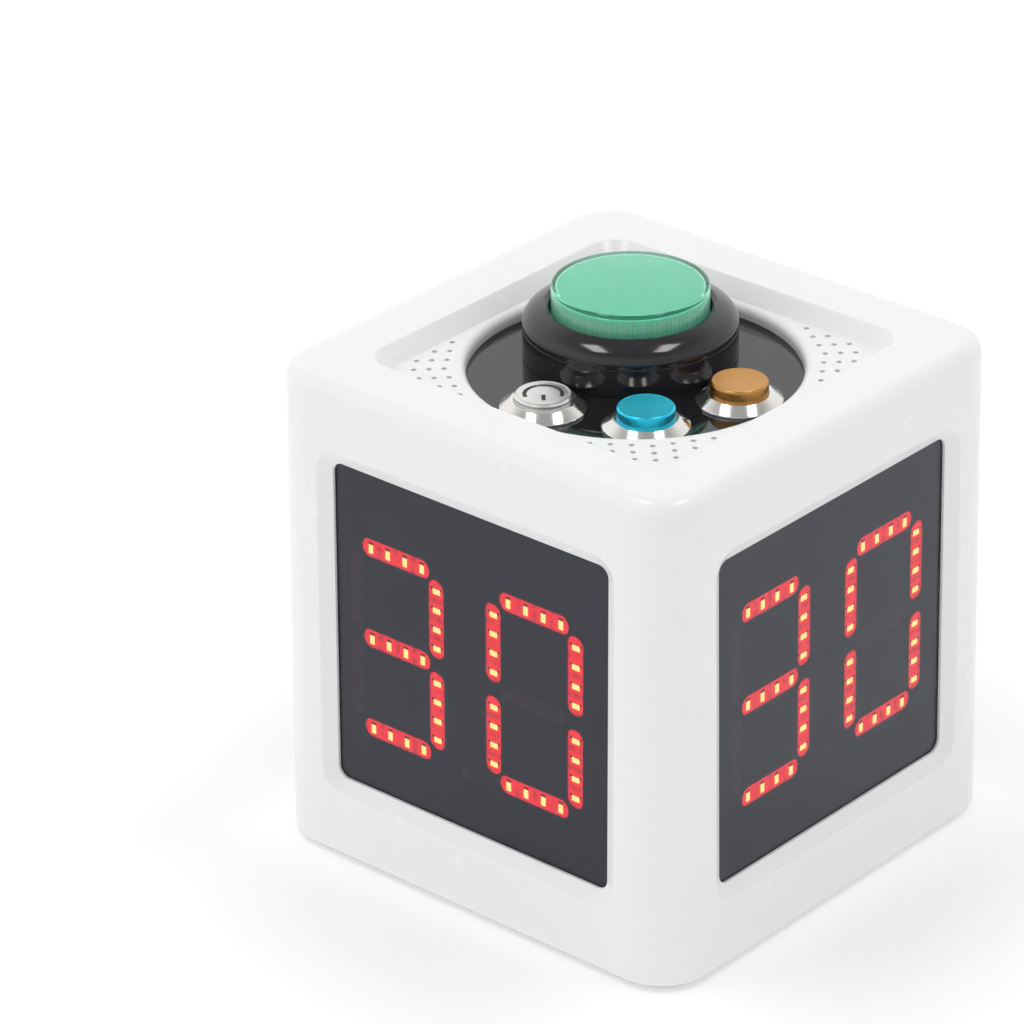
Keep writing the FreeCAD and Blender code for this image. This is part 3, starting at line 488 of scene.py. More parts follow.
def add_chip(bm, matrix, x, y, upright, lit):
    """One LED chip with its rounded lens, and the dark ends of its solder pads."""
    wide, tall = (CHIP_LONG, CHIP_SHORT) if upright else (CHIP_SHORT, CHIP_LONG)
    middle = matrix @ Matrix.Translation((x, y, CHIP_HIGH / 2))
    soft_block(bm, middle, (wide, tall, CHIP_HIGH), 0.12 * MM, 0 if lit else 1)
    if upright:
        pads = [(side * 1.25 * MM, 0.62 * MM, 0.55 * MM, 0.5 * MM) for side in (-1, 1)]
    else:
        pads = [(0, 1.36 * MM, 1.3 * MM, 0.42 * MM)]
    for dx, dy, pad_wide, pad_tall in pads:
        spot = matrix @ Matrix.Translation((x + dx, y + dy, CHIP_HIGH / 2))
        soft_block(bm, spot, (pad_wide, pad_tall, CHIP_HIGH * 0.99), 0.08 * MM, 2)


for side in SIDES:
    shift = DIGIT_SHIFT.get(side, (0.0, 0.0))
    board_face = side_frame(side) @ Matrix.Translation((*shift, -WINDOW_THICK / 2 - MASK_THICK))
    fill = bmesh.new()
    layer = fill.verts.layers.float_vector.new("slot_place")
    chips = bmesh.new()
    for x, y, upright, lit in segments():
        length, pitch = (UPRIGHT_LENGTH, UPRIGHT_PITCH) if upright else (LEVEL_LENGTH, LEVEL_PITCH)
        at = board_face @ Matrix.Translation((x, y, 0))
        capsule_fill(fill, layer, at, length - SLOT_PLAY, SLOT_R - SLOT_PLAY, 0.0, FILL_HIGH, upright, pitch,
                     float(lit))
        for cx, cy in chip_spots(x, y, upright):
            add_chip(chips, board_face, cx, cy, upright, lit)
    at = board_face @ Matrix.Translation((0, -POINT_DROP, 0))
    capsule_fill(fill, layer, at, 2 * POINT_R, POINT_R - SLOT_PLAY, 0.0, FILL_HIGH, False, LEVEL_PITCH, 0.0)
    soft_block(chips, at @ Matrix.Translation((0, 0, CHIP_HIGH / 2)), (CHIP_LONG, CHIP_SHORT, CHIP_HIGH),
               0.12 * MM, 1)
    new_piece("segment_fill_" + side, fill, "root", "led", fill_red)
    lamps = new_piece("led_chips_" + side, chips, "root", "led", chip_lit, chip_unlit_painted_glow, chip_pad)
    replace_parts(lamps, "leds_" + side)

# ---- button panel ----
# A disc of polished black acrylic under the round hole in the pan, held up by a moulded clamp ring and
# four screws. The buttons are screwed through it.
GLOSS_BLACK = (0.010, 0.010, 0.012)

panel_black = moulded("panel_black", GLOSS_BLACK, 0.03, grain=200.0, texture=0.01, uneven=0.1, dust=0.02,
                      dust_colour=(0.10, 0.10, 0.10))
finish(panel_black, "top_panel")
ring_black = moulded("ring_black", (0.02, 0.02, 0.022), 0.5, grain=3000.0, texture=0.12, uneven=0.15)
finish(ring_black, "panel_clamp_ring")

# ---- large push button ----
# A black ABS body and a screwed-on bezel with a rounded shoulder carry a clear green cap. A white disc under
# the cap scatters the light, and a thread on the body's stem takes the nut under the panel.
CAP_GREEN = (0.38, 0.86, 0.68)
CAP_PAINTED_GLOW = (0.03, 0.55, 0.34)
CAP_WALL = 1.0 * MM
CAP_TOP = 1.2 * MM
LEGEND_PLAY = 0.12 * MM     # round and over the white disc
CAP_GAP = 0.45 * MM
SHOULDER_PULL = 1.6 * MM    # how far under the rim the shoulder's curve aims
BEZEL_EDGE = 0.9 * MM       # upright edge under the shoulder
SEAM = 0.18 * MM            # rounding on both sides of the seam
STEM_IN = 8.3 * MM
STEM_WALL = 1.7 * MM
STEM_LONG = 24.0 * MM
THREAD_PITCH = 1.5 * MM
THREAD_DEEP = 0.5 * MM
GUIDE_TOP = 3.0 * MM
GUIDE_LOW = 6.0 * MM
BODY_FLOOR = 1.5 * MM
TUBE_R = 9.0 * MM           # plunger tube

button_black = moulded("button_black", (0.014, 0.014, 0.018), 0.12, grain=900.0, texture=0.02, uneven=0.15,
                       dust=0.015, dust_colour=(0.3, 0.3, 0.3))
finish(button_black, "large_button_nut")
# The cap carries a faint painted green glow of its own; the lamp inside gives off no light.
cap_green, tree, shader = new_material("cap_green", Transmission_Weight=1.0, IOR=1.49, Emission_Strength=0.05)
skin = use(tree, SKIN, {"Vector": object_place(tree), "Grain": 500.0, "Dust": 0.02})
feed(tree, shader.inputs["Base Color"],
     mixed(tree, skin["Unevenness"], CAP_GREEN, tuple(c * 0.97 for c in CAP_GREEN)))
feed(tree, shader.inputs["Roughness"], scaled(tree, skin["Unevenness"], 0.0, 1.0, 0.02, 0.05))
feed(tree, shader.inputs["Emission Color"],
     mixed(tree, skin["Unevenness"], CAP_PAINTED_GLOW, tuple(c * 1.06 for c in CAP_PAINTED_GLOW)))


def rounded_profile(corners, steps=4):
    """Outline points from (radius, height, rounding) corners."""
    points = []
    for k, (r, z, rounding) in enumerate(corners):
        here = Vector((r, z))
        if not rounding:
            points.append(here)
            continue
        before = (Vector(corners[k - 1][:2]) - here).normalized() * rounding
        after = (Vector(corners[(k + 1) % len(corners)][:2]) - here).normalized() * rounding
        for step in range(steps + 1):
            share = step / steps
            points.append(here + before * (1 - share) ** 2 + after * share ** 2)
    return points


def thread_corners(radius, deep, top, bottom, pitch):
    """Crests and roots of a thread, from the top down, ending at its root radius."""
    corners = []
    turn = top - pitch
    while turn > bottom + pitch:
        corners += [(radius, turn, 0), (radius - deep, turn - pitch / 2, 0)]
        turn -= pitch
    return corners


def lathe(bm, corners, centre, steps=96):
    """Solid of revolution about an upright axis. A profile that starts and ends on the axis closes there."""
    outline = rounded_profile(corners)
    rows = []
    for point in outline:
        if point.x < 1e-9:
            rows.append([bm.verts.new((centre.x, centre.y, point.y))])
        else:
            rows.append([bm.verts.new((centre.x + point.x * math.cos(math.tau * k / steps),
                                       centre.y + point.x * math.sin(math.tau * k / steps), point.y))
                         for k in range(steps)])
    for row, following in zip(rows, rows[1:] + rows[:1]):
        for k in range(steps):
            n = (k + 1) % steps
            if len(row) == 1 and len(following) == 1:
                break
            if len(row) == 1:
                bm.faces.new((row[0], following[n], following[k]))
            elif len(following) == 1:
                bm.faces.new((row[k], row[n], following[0]))
            else:
                bm.faces.new((row[k], row[n], following[n], following[k]))
    bmesh.ops.recalc_face_normals(bm, faces=bm.faces)


low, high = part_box("large_button_cap")
centre = (low + high) / 2
cap_r = (high.x - low.x) / 2
cap_bore = cap_r - CAP_WALL
ceiling = high.z - CAP_TOP
cap = bmesh.new()
lathe(cap, ((0, high.z, 0), (cap_r, high.z, 0.7 * MM), (cap_r, low.z, 0.2 * MM), (cap_bore, low.z, 0.2 * MM),
            (cap_bore, ceiling, 0.5 * MM), (0, ceiling, 0)), centre)
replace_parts(new_piece("green_cap", cap, "green_button", "green_lens", cap_green), "large_button_cap")

legend_white = moulded("legend_white", (0.88, 0.90, 0.88), 0.5, grain=3000.0, texture=0.05)
low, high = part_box("large_button_legend")
legend_r = cap_bore - LEGEND_PLAY
legend = bmesh.new()
lathe(legend, ((0, high.z - LEGEND_PLAY, 0), (legend_r, high.z - LEGEND_PLAY, 0.3 * MM),
               (legend_r, low.z, 0.1 * MM), (0, low.z, 0)), centre)
disc = new_piece("legend_disc", legend, "green_button", "white_nylon", legend_white)
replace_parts(disc, "large_button_legend")
nylon = moulded("white_nylon", (0.78, 0.77, 0.72), 0.4, grain=1800.0, texture=0.08, uneven=0.04)
finish(nylon, "large_button_plunger", "lamp_holder", "battery_holder")

low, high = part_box("large_button_bezel")
outer = (high.x - low.x) / 2
bore = cap_r + CAP_GAP
edge = low.z + BEZEL_EDGE
start, end = Vector((bore + 1.0 * MM, high.z)), Vector((outer, edge))
pull = Vector((outer, high.z - SHOULDER_PULL))
shoulder = [start * (1 - t) ** 2 + pull * 2 * t * (1 - t) + end * t ** 2 for t in (k / 12 for k in range(13))]
bezel = bmesh.new()
lathe(bezel, ([(bore, high.z - 0.4 * MM, 0.1 * MM)] + [(point.x, point.y, 0) for point in shoulder]
              + [(outer, low.z, SEAM), (bore, low.z, 0)]), centre, steps=128)
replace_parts(new_piece("button_bezel", bezel, "root", "black_gloss", button_black), "large_button_bezel")

low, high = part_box("large_button_body")
stem = outer - STEM_IN
panel_top = low.z + STEM_LONG
stem_bore, chamber = stem - STEM_WALL, bore + 0.2 * MM
guide = TUBE_R + 0.05 * MM
barrel = [(chamber, high.z, 0), (outer, high.z, SEAM), (outer, panel_top, 0.15 * MM), (stem, panel_top, 0)]
barrel += thread_corners(stem, THREAD_DEEP, panel_top, low.z, THREAD_PITCH)
barrel += [(stem - THREAD_DEEP, low.z, 0.2 * MM), (stem_bore, low.z, 0.2 * MM),
           (stem_bore, panel_top - GUIDE_LOW, 0), (guide, panel_top - GUIDE_LOW, 0),
           (guide, panel_top - GUIDE_TOP, 0), (stem_bore, panel_top - GUIDE_TOP, 0),
           (stem_bore, panel_top + BODY_FLOOR, 0), (chamber, panel_top + BODY_FLOOR, 0)]
body = bmesh.new()
lathe(body, barrel, centre, steps=128)
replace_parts(new_piece("button_barrel", body, "root", "black_gloss", button_black), "large_button_body")

# ---- small push buttons ----
# Three metal push buttons: turned brass bodies with a polished nickel cone and a fine thread, and a steel,
# a blue and an orange anodised cap. A broken circle and bar is etched in the steel one and filled black.
NICKEL = (0.76, 0.74, 0.71)
STEEL_CAP = (0.78, 0.78, 0.77)
BLUE_CAP = (0.04, 0.62, 0.86)
ORANGE_CAP = (0.56, 0.285, 0.08)
CONE_EDGE = 0.5 * MM        # upright edge under the cone
RIM_WALL = 0.75 * MM
CAP_PLAY = 0.05 * MM
CHAMBER_OUT = 0.95 * MM     # spring chamber beyond the cap
THREAD_IN = 1.05 * MM       # thread inside the head
SMALL_PITCH = 1.0 * MM
SMALL_DEEP = 0.3 * MM
SMALL_LONG = 17.0 * MM
SHOULDER = 3.0 * MM         # stop shoulder below the panel's top
DISH = 0.25 * MM
CAP_BREAK = 0.35 * MM
FLANGE_OUT = 0.65 * MM
FLANGE_THICK = 0.9 * MM
SYMBOL_R = 3.8 * MM
SYMBOL_LINE = 0.85 * MM
SYMBOL_GAP = 137.0
SYMBOL_BAR = (0.3 * MM, 3.1 * MM)
SYMBOL_TURN = -48.0
SYMBOL_TOP = 0.27 * MM      # paint's surface below the cap's edge


def turned_metal():
    """Group: lathe rings about an upright axis through Centre, with faint cloudy wear."""
    group, given, result = new_group(
        "turned_metal",
        [("Vector", "Vector", None), ("Centre", "Vector", None), ("Lines", "Float", 9000.0)],
        [("Height", "Float"), ("Ring", "Float"), ("Wear", "Float")])
    arm = add(group, "VectorMath", {0: given["Vector"], 1: given["Centre"]}, operation="SUBTRACT").outputs[0]
    flat = add(group, "VectorMath", {0: arm, 1: (1.0, 1.0, 0.0)}, operation="MULTIPLY").outputs[0]
    radius = add(group, "VectorMath", {0: flat}, operation="LENGTH").outputs["Value"]
    height = add(group, "SeparateXYZ", {0: arm}).outputs["Z"]
    ladder = add(group, "CombineXYZ", {0: radius, 1: height}).outputs[0]
    rings = add(group, "TexNoise", {"Vector": ladder, "Scale": given["Lines"], "Detail": 1.0})
    wear = add(group, "TexNoise", {"Vector": given["Vector"], "Scale": 250.0, "Detail": 2.0})
    feed(group, result["Height"], rings.outputs[0])
    feed(group, result["Ring"], scaled(group, rings.outputs[0], 0.35, 0.65, 0.0, 1.0))
    feed(group, result["Wear"], scaled(group, wear.outputs[0], 0.35, 0.7, 0.0, 1.0))
    return group


LATHE = turned_metal()


def middle_of(node):
    """Middle of a CAD node's box."""
    low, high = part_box(node)
    return (low + high) / 2


def turned(name, colour, rough, centre, ring=0.02, texture=0.008, lines=3000.0, **sockets):
    """Metal turned on a lathe about an upright axis through the centre."""
    material, tree, shader = new_material(name, Metallic=1.0, **sockets)
    lines_round = use(tree, LATHE, {"Vector": object_place(tree), "Centre": tuple(centre), "Lines": lines})
    shade = mixed(tree, lines_round["Ring"], tuple(c * (1 - ring) for c in colour), colour)
    feed(tree, shader.inputs["Base Color"],
         mixed(tree, lines_round["Wear"], shade, tuple(c * 0.98 for c in colour)))
    feed(tree, shader.inputs["Roughness"],
         scaled(tree, lines_round["Wear"], 0.0, 1.0, rough * 0.95, rough * 1.05))
    roughen(tree, shader, texture, lines_round["Height"])
    return material


for colour_name, colour, rough, slot in (("power", STEEL_CAP, 0.30, "power_steel"),
                                         ("blue", BLUE_CAP, 0.30, "blue_anodised"),
                                         ("orange", ORANGE_CAP, 0.30, "orange_anodised")):
    centre = middle_of(colour_name + "_button_body")
    nickel = turned(colour_name + "_nickel", NICKEL, 0.12, centre)
    finish(nickel, colour_name + "_button_nut")
    low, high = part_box(colour_name + "_button_body")
    head = (high.x - low.x) / 2
    thread = head - THREAD_IN
    seat = low.z + SMALL_LONG
    rim = high.z
    cap_low, cap_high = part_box(colour_name + "_button_cap")
    flange = (cap_high.x - cap_low.x) / 2
    cap_r = flange - FLANGE_OUT
    chamber = cap_r + CHAMBER_OUT
    profile = [(cap_r + CAP_PLAY, rim, 0.1 * MM), (cap_r + RIM_WALL, rim, 0.15 * MM),
               (head, seat + CONE_EDGE, 0.15 * MM), (head, seat, 0.05 * MM), (thread, seat, 0)]
    profile += thread_corners(thread, SMALL_DEEP, seat, low.z, SMALL_PITCH)
    profile += [(thread - SMALL_DEEP, low.z, 0), (chamber, low.z, 0), (chamber, seat - SHOULDER, 0),
                (cap_r + CAP_PLAY, seat - SHOULDER, 0)]
    shell = bmesh.new()
    lathe(shell, profile, centre)
    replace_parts(new_piece(colour_name + "_shell", shell, "root", "nickel", nickel),
                colour_name + "_button_body")

    metal = turned(colour_name + "_cap_metal", colour, rough, centre)
    if colour_name == "power":
        finish(metal, "power_button_cap")
        continue
    step = cap_low.z + FLANGE_THICK
    face = bmesh.new()
    lathe(face, ((0, cap_high.z - DISH, 0), (cap_r * 0.45, cap_high.z - DISH * 0.8, 0),
                 (cap_r - 0.9 * MM, cap_high.z - DISH / 3, 0.1 * MM),
                 (cap_r - CAP_BREAK, cap_high.z, 0.15 * MM),
                 (cap_r, cap_high.z - CAP_BREAK, 0.15 * MM), (cap_r, step, 0), (flange, step, 0),
                 (flange, cap_low.z, 0.1 * MM), (0, cap_low.z, 0)), centre)
    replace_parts(new_piece(colour_name + "_cap", face, colour_name + "_button", slot, metal),
                colour_name + "_button_cap")

etch_black = moulded("etch_paint", (0.02, 0.02, 0.022), 0.45, grain=5000.0, texture=0.1, uneven=0.2)
low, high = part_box("power_button_cap")
place = Matrix.Translation(((low.x + high.x) / 2, (low.y + high.y) / 2, high.z - SYMBOL_TOP))
place = place @ Matrix.Rotation(math.radians(SYMBOL_TURN), 4, "Z")
paint = bmesh.new()
half_line = SYMBOL_LINE / 2 - 0.01 * MM
rows = []
for step in range(49):
    angle = math.radians(SYMBOL_GAP / 2 + (360 - SYMBOL_GAP) * step / 48)
    spoke = Vector((math.cos(angle), math.sin(angle), 0))
    rows.append([paint.verts.new(place @ (spoke * (SYMBOL_R + out) + UP * drop)) for out, drop in (
        (-half_line, 0), (half_line, 0), (half_line, -0.02 * MM), (-half_line, -0.02 * MM))])
for row, following in zip(rows, rows[1:]):
    for k in range(4):
        paint.faces.new((row[k], row[(k + 1) % 4], following[(k + 1) % 4], following[k]))
paint.faces.new(rows[0])
paint.faces.new(list(reversed(rows[-1])))
bar_middle = (SYMBOL_BAR[0] + SYMBOL_BAR[1]) / 2
soft_block(paint, place @ Matrix.Translation((bar_middle, 0, -0.01 * MM)),
           (SYMBOL_BAR[1] - SYMBOL_BAR[0], 2 * half_line, 0.02 * MM), 0.004 * MM, 0)
new_piece("power_symbol_paint", paint, "power_button", "black_matte", etch_black)

# ---- springs ----
# Compression springs of drawn steel wire, one under each cap, with their end turns closed. The power button's
# stops just short of its latched cap.
COIL_TURNS = 5
COIL_ROUND = 28             # steps in a turn
WIRE_ROUND = 10
CLOSED = 0.7                # turns at each end that lie flat
SPRING_WIRES = {"large": 0.5 * MM, "power": 0.3 * MM, "blue": 0.3 * MM, "orange": 0.3 * MM}
SPRING_TRAVEL = {"large": 3.5 * MM, "blue": 1.5 * MM, "orange": 1.5 * MM}
LATCH_PLAY = 0.35 * MM      # the latched cap can still go this far down


def helix(bm, centre, radius, wire, low, high):
    """A closed-end coil of round wire about an upright axis."""
    count = int(COIL_TURNS * COIL_ROUND)
    foot, head = low + wire, high - wire
    rows = []
    for step in range(count + 1):
        turns = step / COIL_ROUND
        share = min(max((turns - CLOSED) / (COIL_TURNS - 2 * CLOSED), 0.0), 1.0)
        lift = foot + (head - foot) * share
        angle = math.tau * turns
        spoke = Vector((math.cos(angle), math.sin(angle), 0))
        middle = Vector((centre.x, centre.y, lift)) + spoke * radius
        rows.append([bm.verts.new(middle + (spoke * math.cos(around) + UP * math.sin(around)) * wire)
                     for around in (math.tau * k / WIRE_ROUND for k in range(WIRE_ROUND))])
    for row, following in zip(rows, rows[1:]):
        for k in range(WIRE_ROUND):
            n = (k + 1) % WIRE_ROUND
            bm.faces.new((row[k], row[n], following[n], following[k]))
    bm.faces.new(list(reversed(rows[0])))
    bm.faces.new(rows[-1])
    bmesh.ops.recalc_face_normals(bm, faces=bm.faces)


spring_steel = turned("drawn_wire", (0.60, 0.60, 0.61), 0.22, (0, 0, 0), ring=0.1, texture=0.03, lines=6000.0)
for name, wire in SPRING_WIRES.items():
    low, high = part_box(name + "_button_spring")
    mean = (high.x - low.x) / 2 - wire
    coil = bmesh.new()
    helix(coil, (low + high) / 2, mean, wire, low.z, high.z - (0 if name in SPRING_TRAVEL else LATCH_PLAY))
    spring = new_piece(name + "_coil", coil, "root", "spring_steel", spring_steel)
    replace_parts(spring, name + "_button_spring")
    if name in SPRING_TRAVEL:
        foot = ((low.x + high.x) / 2, (low.y + high.y) / 2, low.z)
        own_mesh(spring)

# ---- screws ----
# Zinc-plated steel screws with round heads, a cross recess and a rolled thread. They hold the display boards,
# the main board, the clamp ring and the base plate.
ZINC = (0.62, 0.62, 0.64)
RECESS_SHARE = 0.62         # cross recess over the head's radius
RECESS_LINE = 0.17
RECESS_DEEP = 0.45          # over the head's height
SCREW_PITCH = 0.9 * MM
SCREW_KINDS = {"base_screws": (1.4 * MM, 2.8 * MM, 1.2 * MM), "board_screws": (1.0 * MM, 1.9 * MM, 1.3 * MM),
               "panel_screws": (1.0 * MM, 1.9 * MM, 1.3 * MM)}


def islands(node):
    """Vertex places of each separate solid in a CAD node."""
    bm = bmesh.new()
    bm.from_mesh(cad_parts[node].data)
    bmesh.ops.remove_doubles(bm, verts=bm.verts, dist=1e-6)
    seen = set()
    for first in bm.verts:
        if first in seen:
            continue
        group, waiting = [], [first]
        seen.add(first)
        while waiting:
            vertex = waiting.pop()
            group.append(vertex.co.copy())
            for edge in vertex.link_edges:
                other = edge.other_vert(vertex)
                if other not in seen:
                    seen.add(other)
                    waiting.append(other)
        yield group
    bm.free()


def box_of(places):
    """Lowest and highest corner of some places."""
    return (Vector([min(place[k] for place in places) for k in range(3)]),
            Vector([max(place[k] for place in places) for k in range(3)]))


def screw_mesh(bm, place, shank, head, head_high, long):
    """A screw along +z with its head's underside at 0 and its tip at -long."""
    steps = 24
    levels = [(shank * 0.5, -long), (shank * 0.85, -long + 0.4 * MM)]
    level = -long + 0.5 * MM
    while level < -0.5 * MM:
        levels += [(shank * 0.84, level), (shank, level + SCREW_PITCH * 0.4)]
        level += SCREW_PITCH
    levels += [(shank, 0.0), (head * 0.96, 0.0), (head, 0.15 * MM), (head, head_high * 0.45),
               (head * 0.9, head_high * 0.78), (head * 0.72, head_high)]
    outlines = [[(r * math.cos(math.tau * k / steps), r * math.sin(math.tau * k / steps), z)
                 for k in range(steps)] for r, z in levels]
    rows = [[bm.verts.new(place @ Vector(point)) for point in ring] for ring in outlines]
    for row, following in zip(rows, rows[1:]):
        for k in range(steps):
            n = (k + 1) % steps
            bm.faces.new((row[k], row[n], following[n], following[k]))
    bm.faces.new(list(reversed(rows[0])))
    reach, line = head * RECESS_SHARE, head * RECESS_LINE
    cross = []
    for quarter in range(4):
        angle = math.radians(90 * quarter)
        for x, y in ((line, -line), (reach, -line), (reach, line)):
            cross.append((x * math.cos(angle) - y * math.sin(angle),
                          x * math.sin(angle) + y * math.cos(angle)))
    upper = [bm.verts.new(place @ Vector((x, y, head_high))) for x, y in cross]
    floor_high = head_high * (1 - RECESS_DEEP)
    lower = [bm.verts.new(place @ Vector((x * 0.8, y * 0.8, floor_high))) for x, y in cross]
    rim_edges = [bm.edges.get((rows[-1][k], rows[-1][(k + 1) % steps])) for k in range(steps)]
    cross_edges = [bm.edges.new((upper[k], upper[(k + 1) % 12])) for k in range(12)]
    bmesh.ops.triangle_fill(bm, use_beauty=True, use_dissolve=False, edges=rim_edges + cross_edges)
    for k in range(12):
        bm.faces.new((upper[k], upper[(k + 1) % 12], lower[(k + 1) % 12], lower[k]))
    bm.faces.new(lower)


zinc = turned("zinc_plate", ZINC, 0.28, (0, 0, 0), ring=0.06, texture=0.02, lines=4000.0)
for node, (shank, head, head_high) in SCREW_KINDS.items():
    screws = bmesh.new()
    for places in islands(node):
        low, high = box_of(places)
        middle = (low + high) / 2
        axis = max(((high - low)[k], k) for k in range(3))[1]
        direction = Vector((0, 0, 0))
        direction[axis] = 1.0
        reach = [(p - middle).dot(direction) for p in places]
        aside = [((p - middle) - direction * (p - middle).dot(direction)).length for p in places]
        top_wide = max(a for a, r in zip(aside, reach) if r > max(reach) * 0.8)
        foot_wide = max(a for a, r in zip(aside, reach) if r < min(reach) * 0.8)
        if foot_wide > top_wide:
            direction = -direction
        length = (high - low)[axis]
        seat = middle + direction * (length / 2 - head_high)
        place = Matrix.Translation(seat) @ direction.to_track_quat("Z", "Y").to_matrix().to_4x4()
        screw_mesh(screws, place, shank, head, head_high, length - head_high)
    bmesh.ops.recalc_face_normals(screws, faces=screws.faces)
    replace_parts(new_piece(node.replace("_", "_cross_"), screws, "root", "steel", zinc), node)

# ---- circuit boards ----
# Glass-epoxy boards under green solder mask: four display boards, the main board, and the small one that
# carries the charging socket. Copper tracks and tinned pads show faintly through the mask.
MASK_GREEN = (0.008, 0.10, 0.045)
TRACK_GREEN = (0.02, 0.17, 0.08)
PAD_TIN = (0.62, 0.62, 0.60)

board_skin, tree, shader = new_material("board_skin", Coat_Weight=0.4, Coat_Roughness=0.1)
place = object_place(tree)
tracks = add(tree, "TexBrick", {"Vector": place, "Scale": 130.0, "Mortar Size": 0.05, "Color1": (0, 0, 0),
                                "Color2": (0, 0, 0), "Mortar": (1, 1, 1)}).outputs["Color"]
cells = add(tree, "TexVoronoi", {"Vector": place, "Scale": 320.0})
pads = calc(tree, "MULTIPLY", scaled(tree, cells.outputs["Distance"], 0.14, 0.18, 1.0, 0.0), calc(
    tree, "GREATER_THAN", add(tree, "SeparateColor", {0: cells.outputs["Color"]}).outputs[0], 0.8))
mask = mixed(tree, tracks, MASK_GREEN, TRACK_GREEN)
feed(tree, shader.inputs["Base Color"], mixed(tree, pads, mask, PAD_TIN))
feed(tree, shader.inputs["Metallic"], pads)
feed(tree, shader.inputs["Roughness"], scaled(tree, pads, 0.0, 1.0, 0.4, 0.25))
roughen(tree, shader, 0.3, tracks)
finish(board_skin, "main_board", "charging_board", *("display_board_" + side for side in SIDES))

# ---- main board's parts ----
# Epoxy chip packages, plug connectors in natural nylon, and three capacitors in aluminium cans with black
# sleeves, soldered to the main board.
epoxy = moulded("epoxy_black", (0.018, 0.018, 0.02), 0.55, grain=3500.0, texture=0.2, uneven=0.15)
plug_nylon = moulded("plug_nylon", (0.72, 0.69, 0.60), 0.4, grain=2200.0, texture=0.08, uneven=0.05)
can = turned("aluminium_can", (0.74, 0.75, 0.76), 0.25, (0, 0, 0), ring=0.06, texture=0.02)
LEG_WIDE = 0.35 * MM
LEG_PITCH = 1.0 * MM
CAN_RIM = 0.35 * MM
PLUG_WALL = 0.7 * MM
PLUG_PINS = 4
CAN_AT_LEAST = 6.5 * MM      # parts this tall are cans, and plugs are over the next height
PLUG_AT_LEAST = 3.0 * MM



def join_in(bm, other):
    """Adds a finished bmesh to another."""
    kept = bpy.data.meshes.new("joined")
    other.to_mesh(kept)
    other.free()
    bm.from_mesh(kept)
    bpy.data.meshes.remove(kept)


parts = bmesh.new()
for places in islands("main_board_chips"):
    low, high = box_of(places)
    size, middle = high - low, (low + high) / 2
    if size.z > CAN_AT_LEAST:
        radius = size.x / 2
        shell = bmesh.new()
        lathe(shell, ((0, high.z, 0), (radius - 2 * CAN_RIM, high.z, 0), (radius, high.z - CAN_RIM, CAN_RIM),
                      (radius, low.z + 1.2 * MM, 0), (radius - CAN_RIM, low.z + 0.9 * MM, 0),
                      (radius, low.z + 0.6 * MM, 0), (radius, low.z, 0), (0, low.z, 0)), middle, steps=32)
        for face in shell.faces:
            face.material_index = 2 if face.calc_center_median().z > high.z - 0.05 * MM else 0
        join_in(parts, shell)
    elif size.z > PLUG_AT_LEAST:
        for across in (False, True):
            for end in (1, -1):
                offset = Vector((end * (size.x - PLUG_WALL) / 2, 0, 0) if across else
                                (0, end * (size.y - PLUG_WALL) / 2, 0))
                wide, deep = (PLUG_WALL, size.y) if across else (size.x, PLUG_WALL)
                soft_block(parts, Matrix.Translation(middle + offset), (wide, deep, size.z), 0.1 * MM, 1)
        soft_block(parts, Matrix.Translation((middle.x, middle.y, low.z + 0.7 * MM)),
                   (size.x * 0.98, size.y * 0.98, 1.4 * MM), 0.05 * MM, 1)
        for k in range(PLUG_PINS):
            pin_x = low.x + size.x * (k + 0.5) / PLUG_PINS
            soft_block(parts, Matrix.Translation((pin_x, middle.y, low.z + 2.4 * MM)),
                       (0.6 * MM, 0.6 * MM, 3.6 * MM), 0.1 * MM, 2)
    else:
        body = Vector((size.x * 0.94, size.y * 0.84, size.z))
        soft_block(parts, Matrix.Translation(middle), body, 0.2 * MM, 0)
        for k in range(int(size.x / LEG_PITCH)):
            leg_x = low.x + (k + 0.5) * size.x / int(size.x / LEG_PITCH)
            for side in (-1, 1):
                foot = Vector((leg_x, middle.y + side * size.y * 0.46, low.z + 0.3 * MM))
                soft_block(parts, Matrix.Translation(foot), (LEG_WIDE, size.y * 0.08, 0.6 * MM), 0.05 * MM, 2)
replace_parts(new_piece("board_packages", parts, "root", "black_matte", epoxy, plug_nylon, can),
            "main_board_chips")

# ---- microswitch and lamp ----
# A small black switch hangs under the large button with a red plunger pin and three tinned tabs, and a clear
# LED lamp stands on the white holder inside the plunger.
SWITCH_HIGH = 10.0 * MM
low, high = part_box("microswitch")
base = high.z - SWITCH_HIGH


def tab_skin(name, floor):
    """Black plastic above the floor height and tinned metal tabs below it."""
    material, tree, shader = new_material(name)
    place = object_place(tree)
    skin = use(tree, SKIN, {"Vector": place, "Grain": 3000.0, "Dust": 0.02})
    metal = calc(tree, "LESS_THAN", add(tree, "SeparateXYZ", {0: place}).outputs["Z"], floor)
    plastic = mixed(tree, skin["Unevenness"], (0.018, 0.018, 0.02), (0.03, 0.03, 0.032))
    feed(tree, shader.inputs["Base Color"], mixed(tree, metal, plastic, (0.70, 0.69, 0.66)))
    feed(tree, shader.inputs["Metallic"], metal)
    feed(tree, shader.inputs["Roughness"], scaled(tree, skin["Unevenness"], 0.0, 1.0, 0.3, 0.45))
    roughen(tree, shader, 0.12, skin["Height"])
    return material


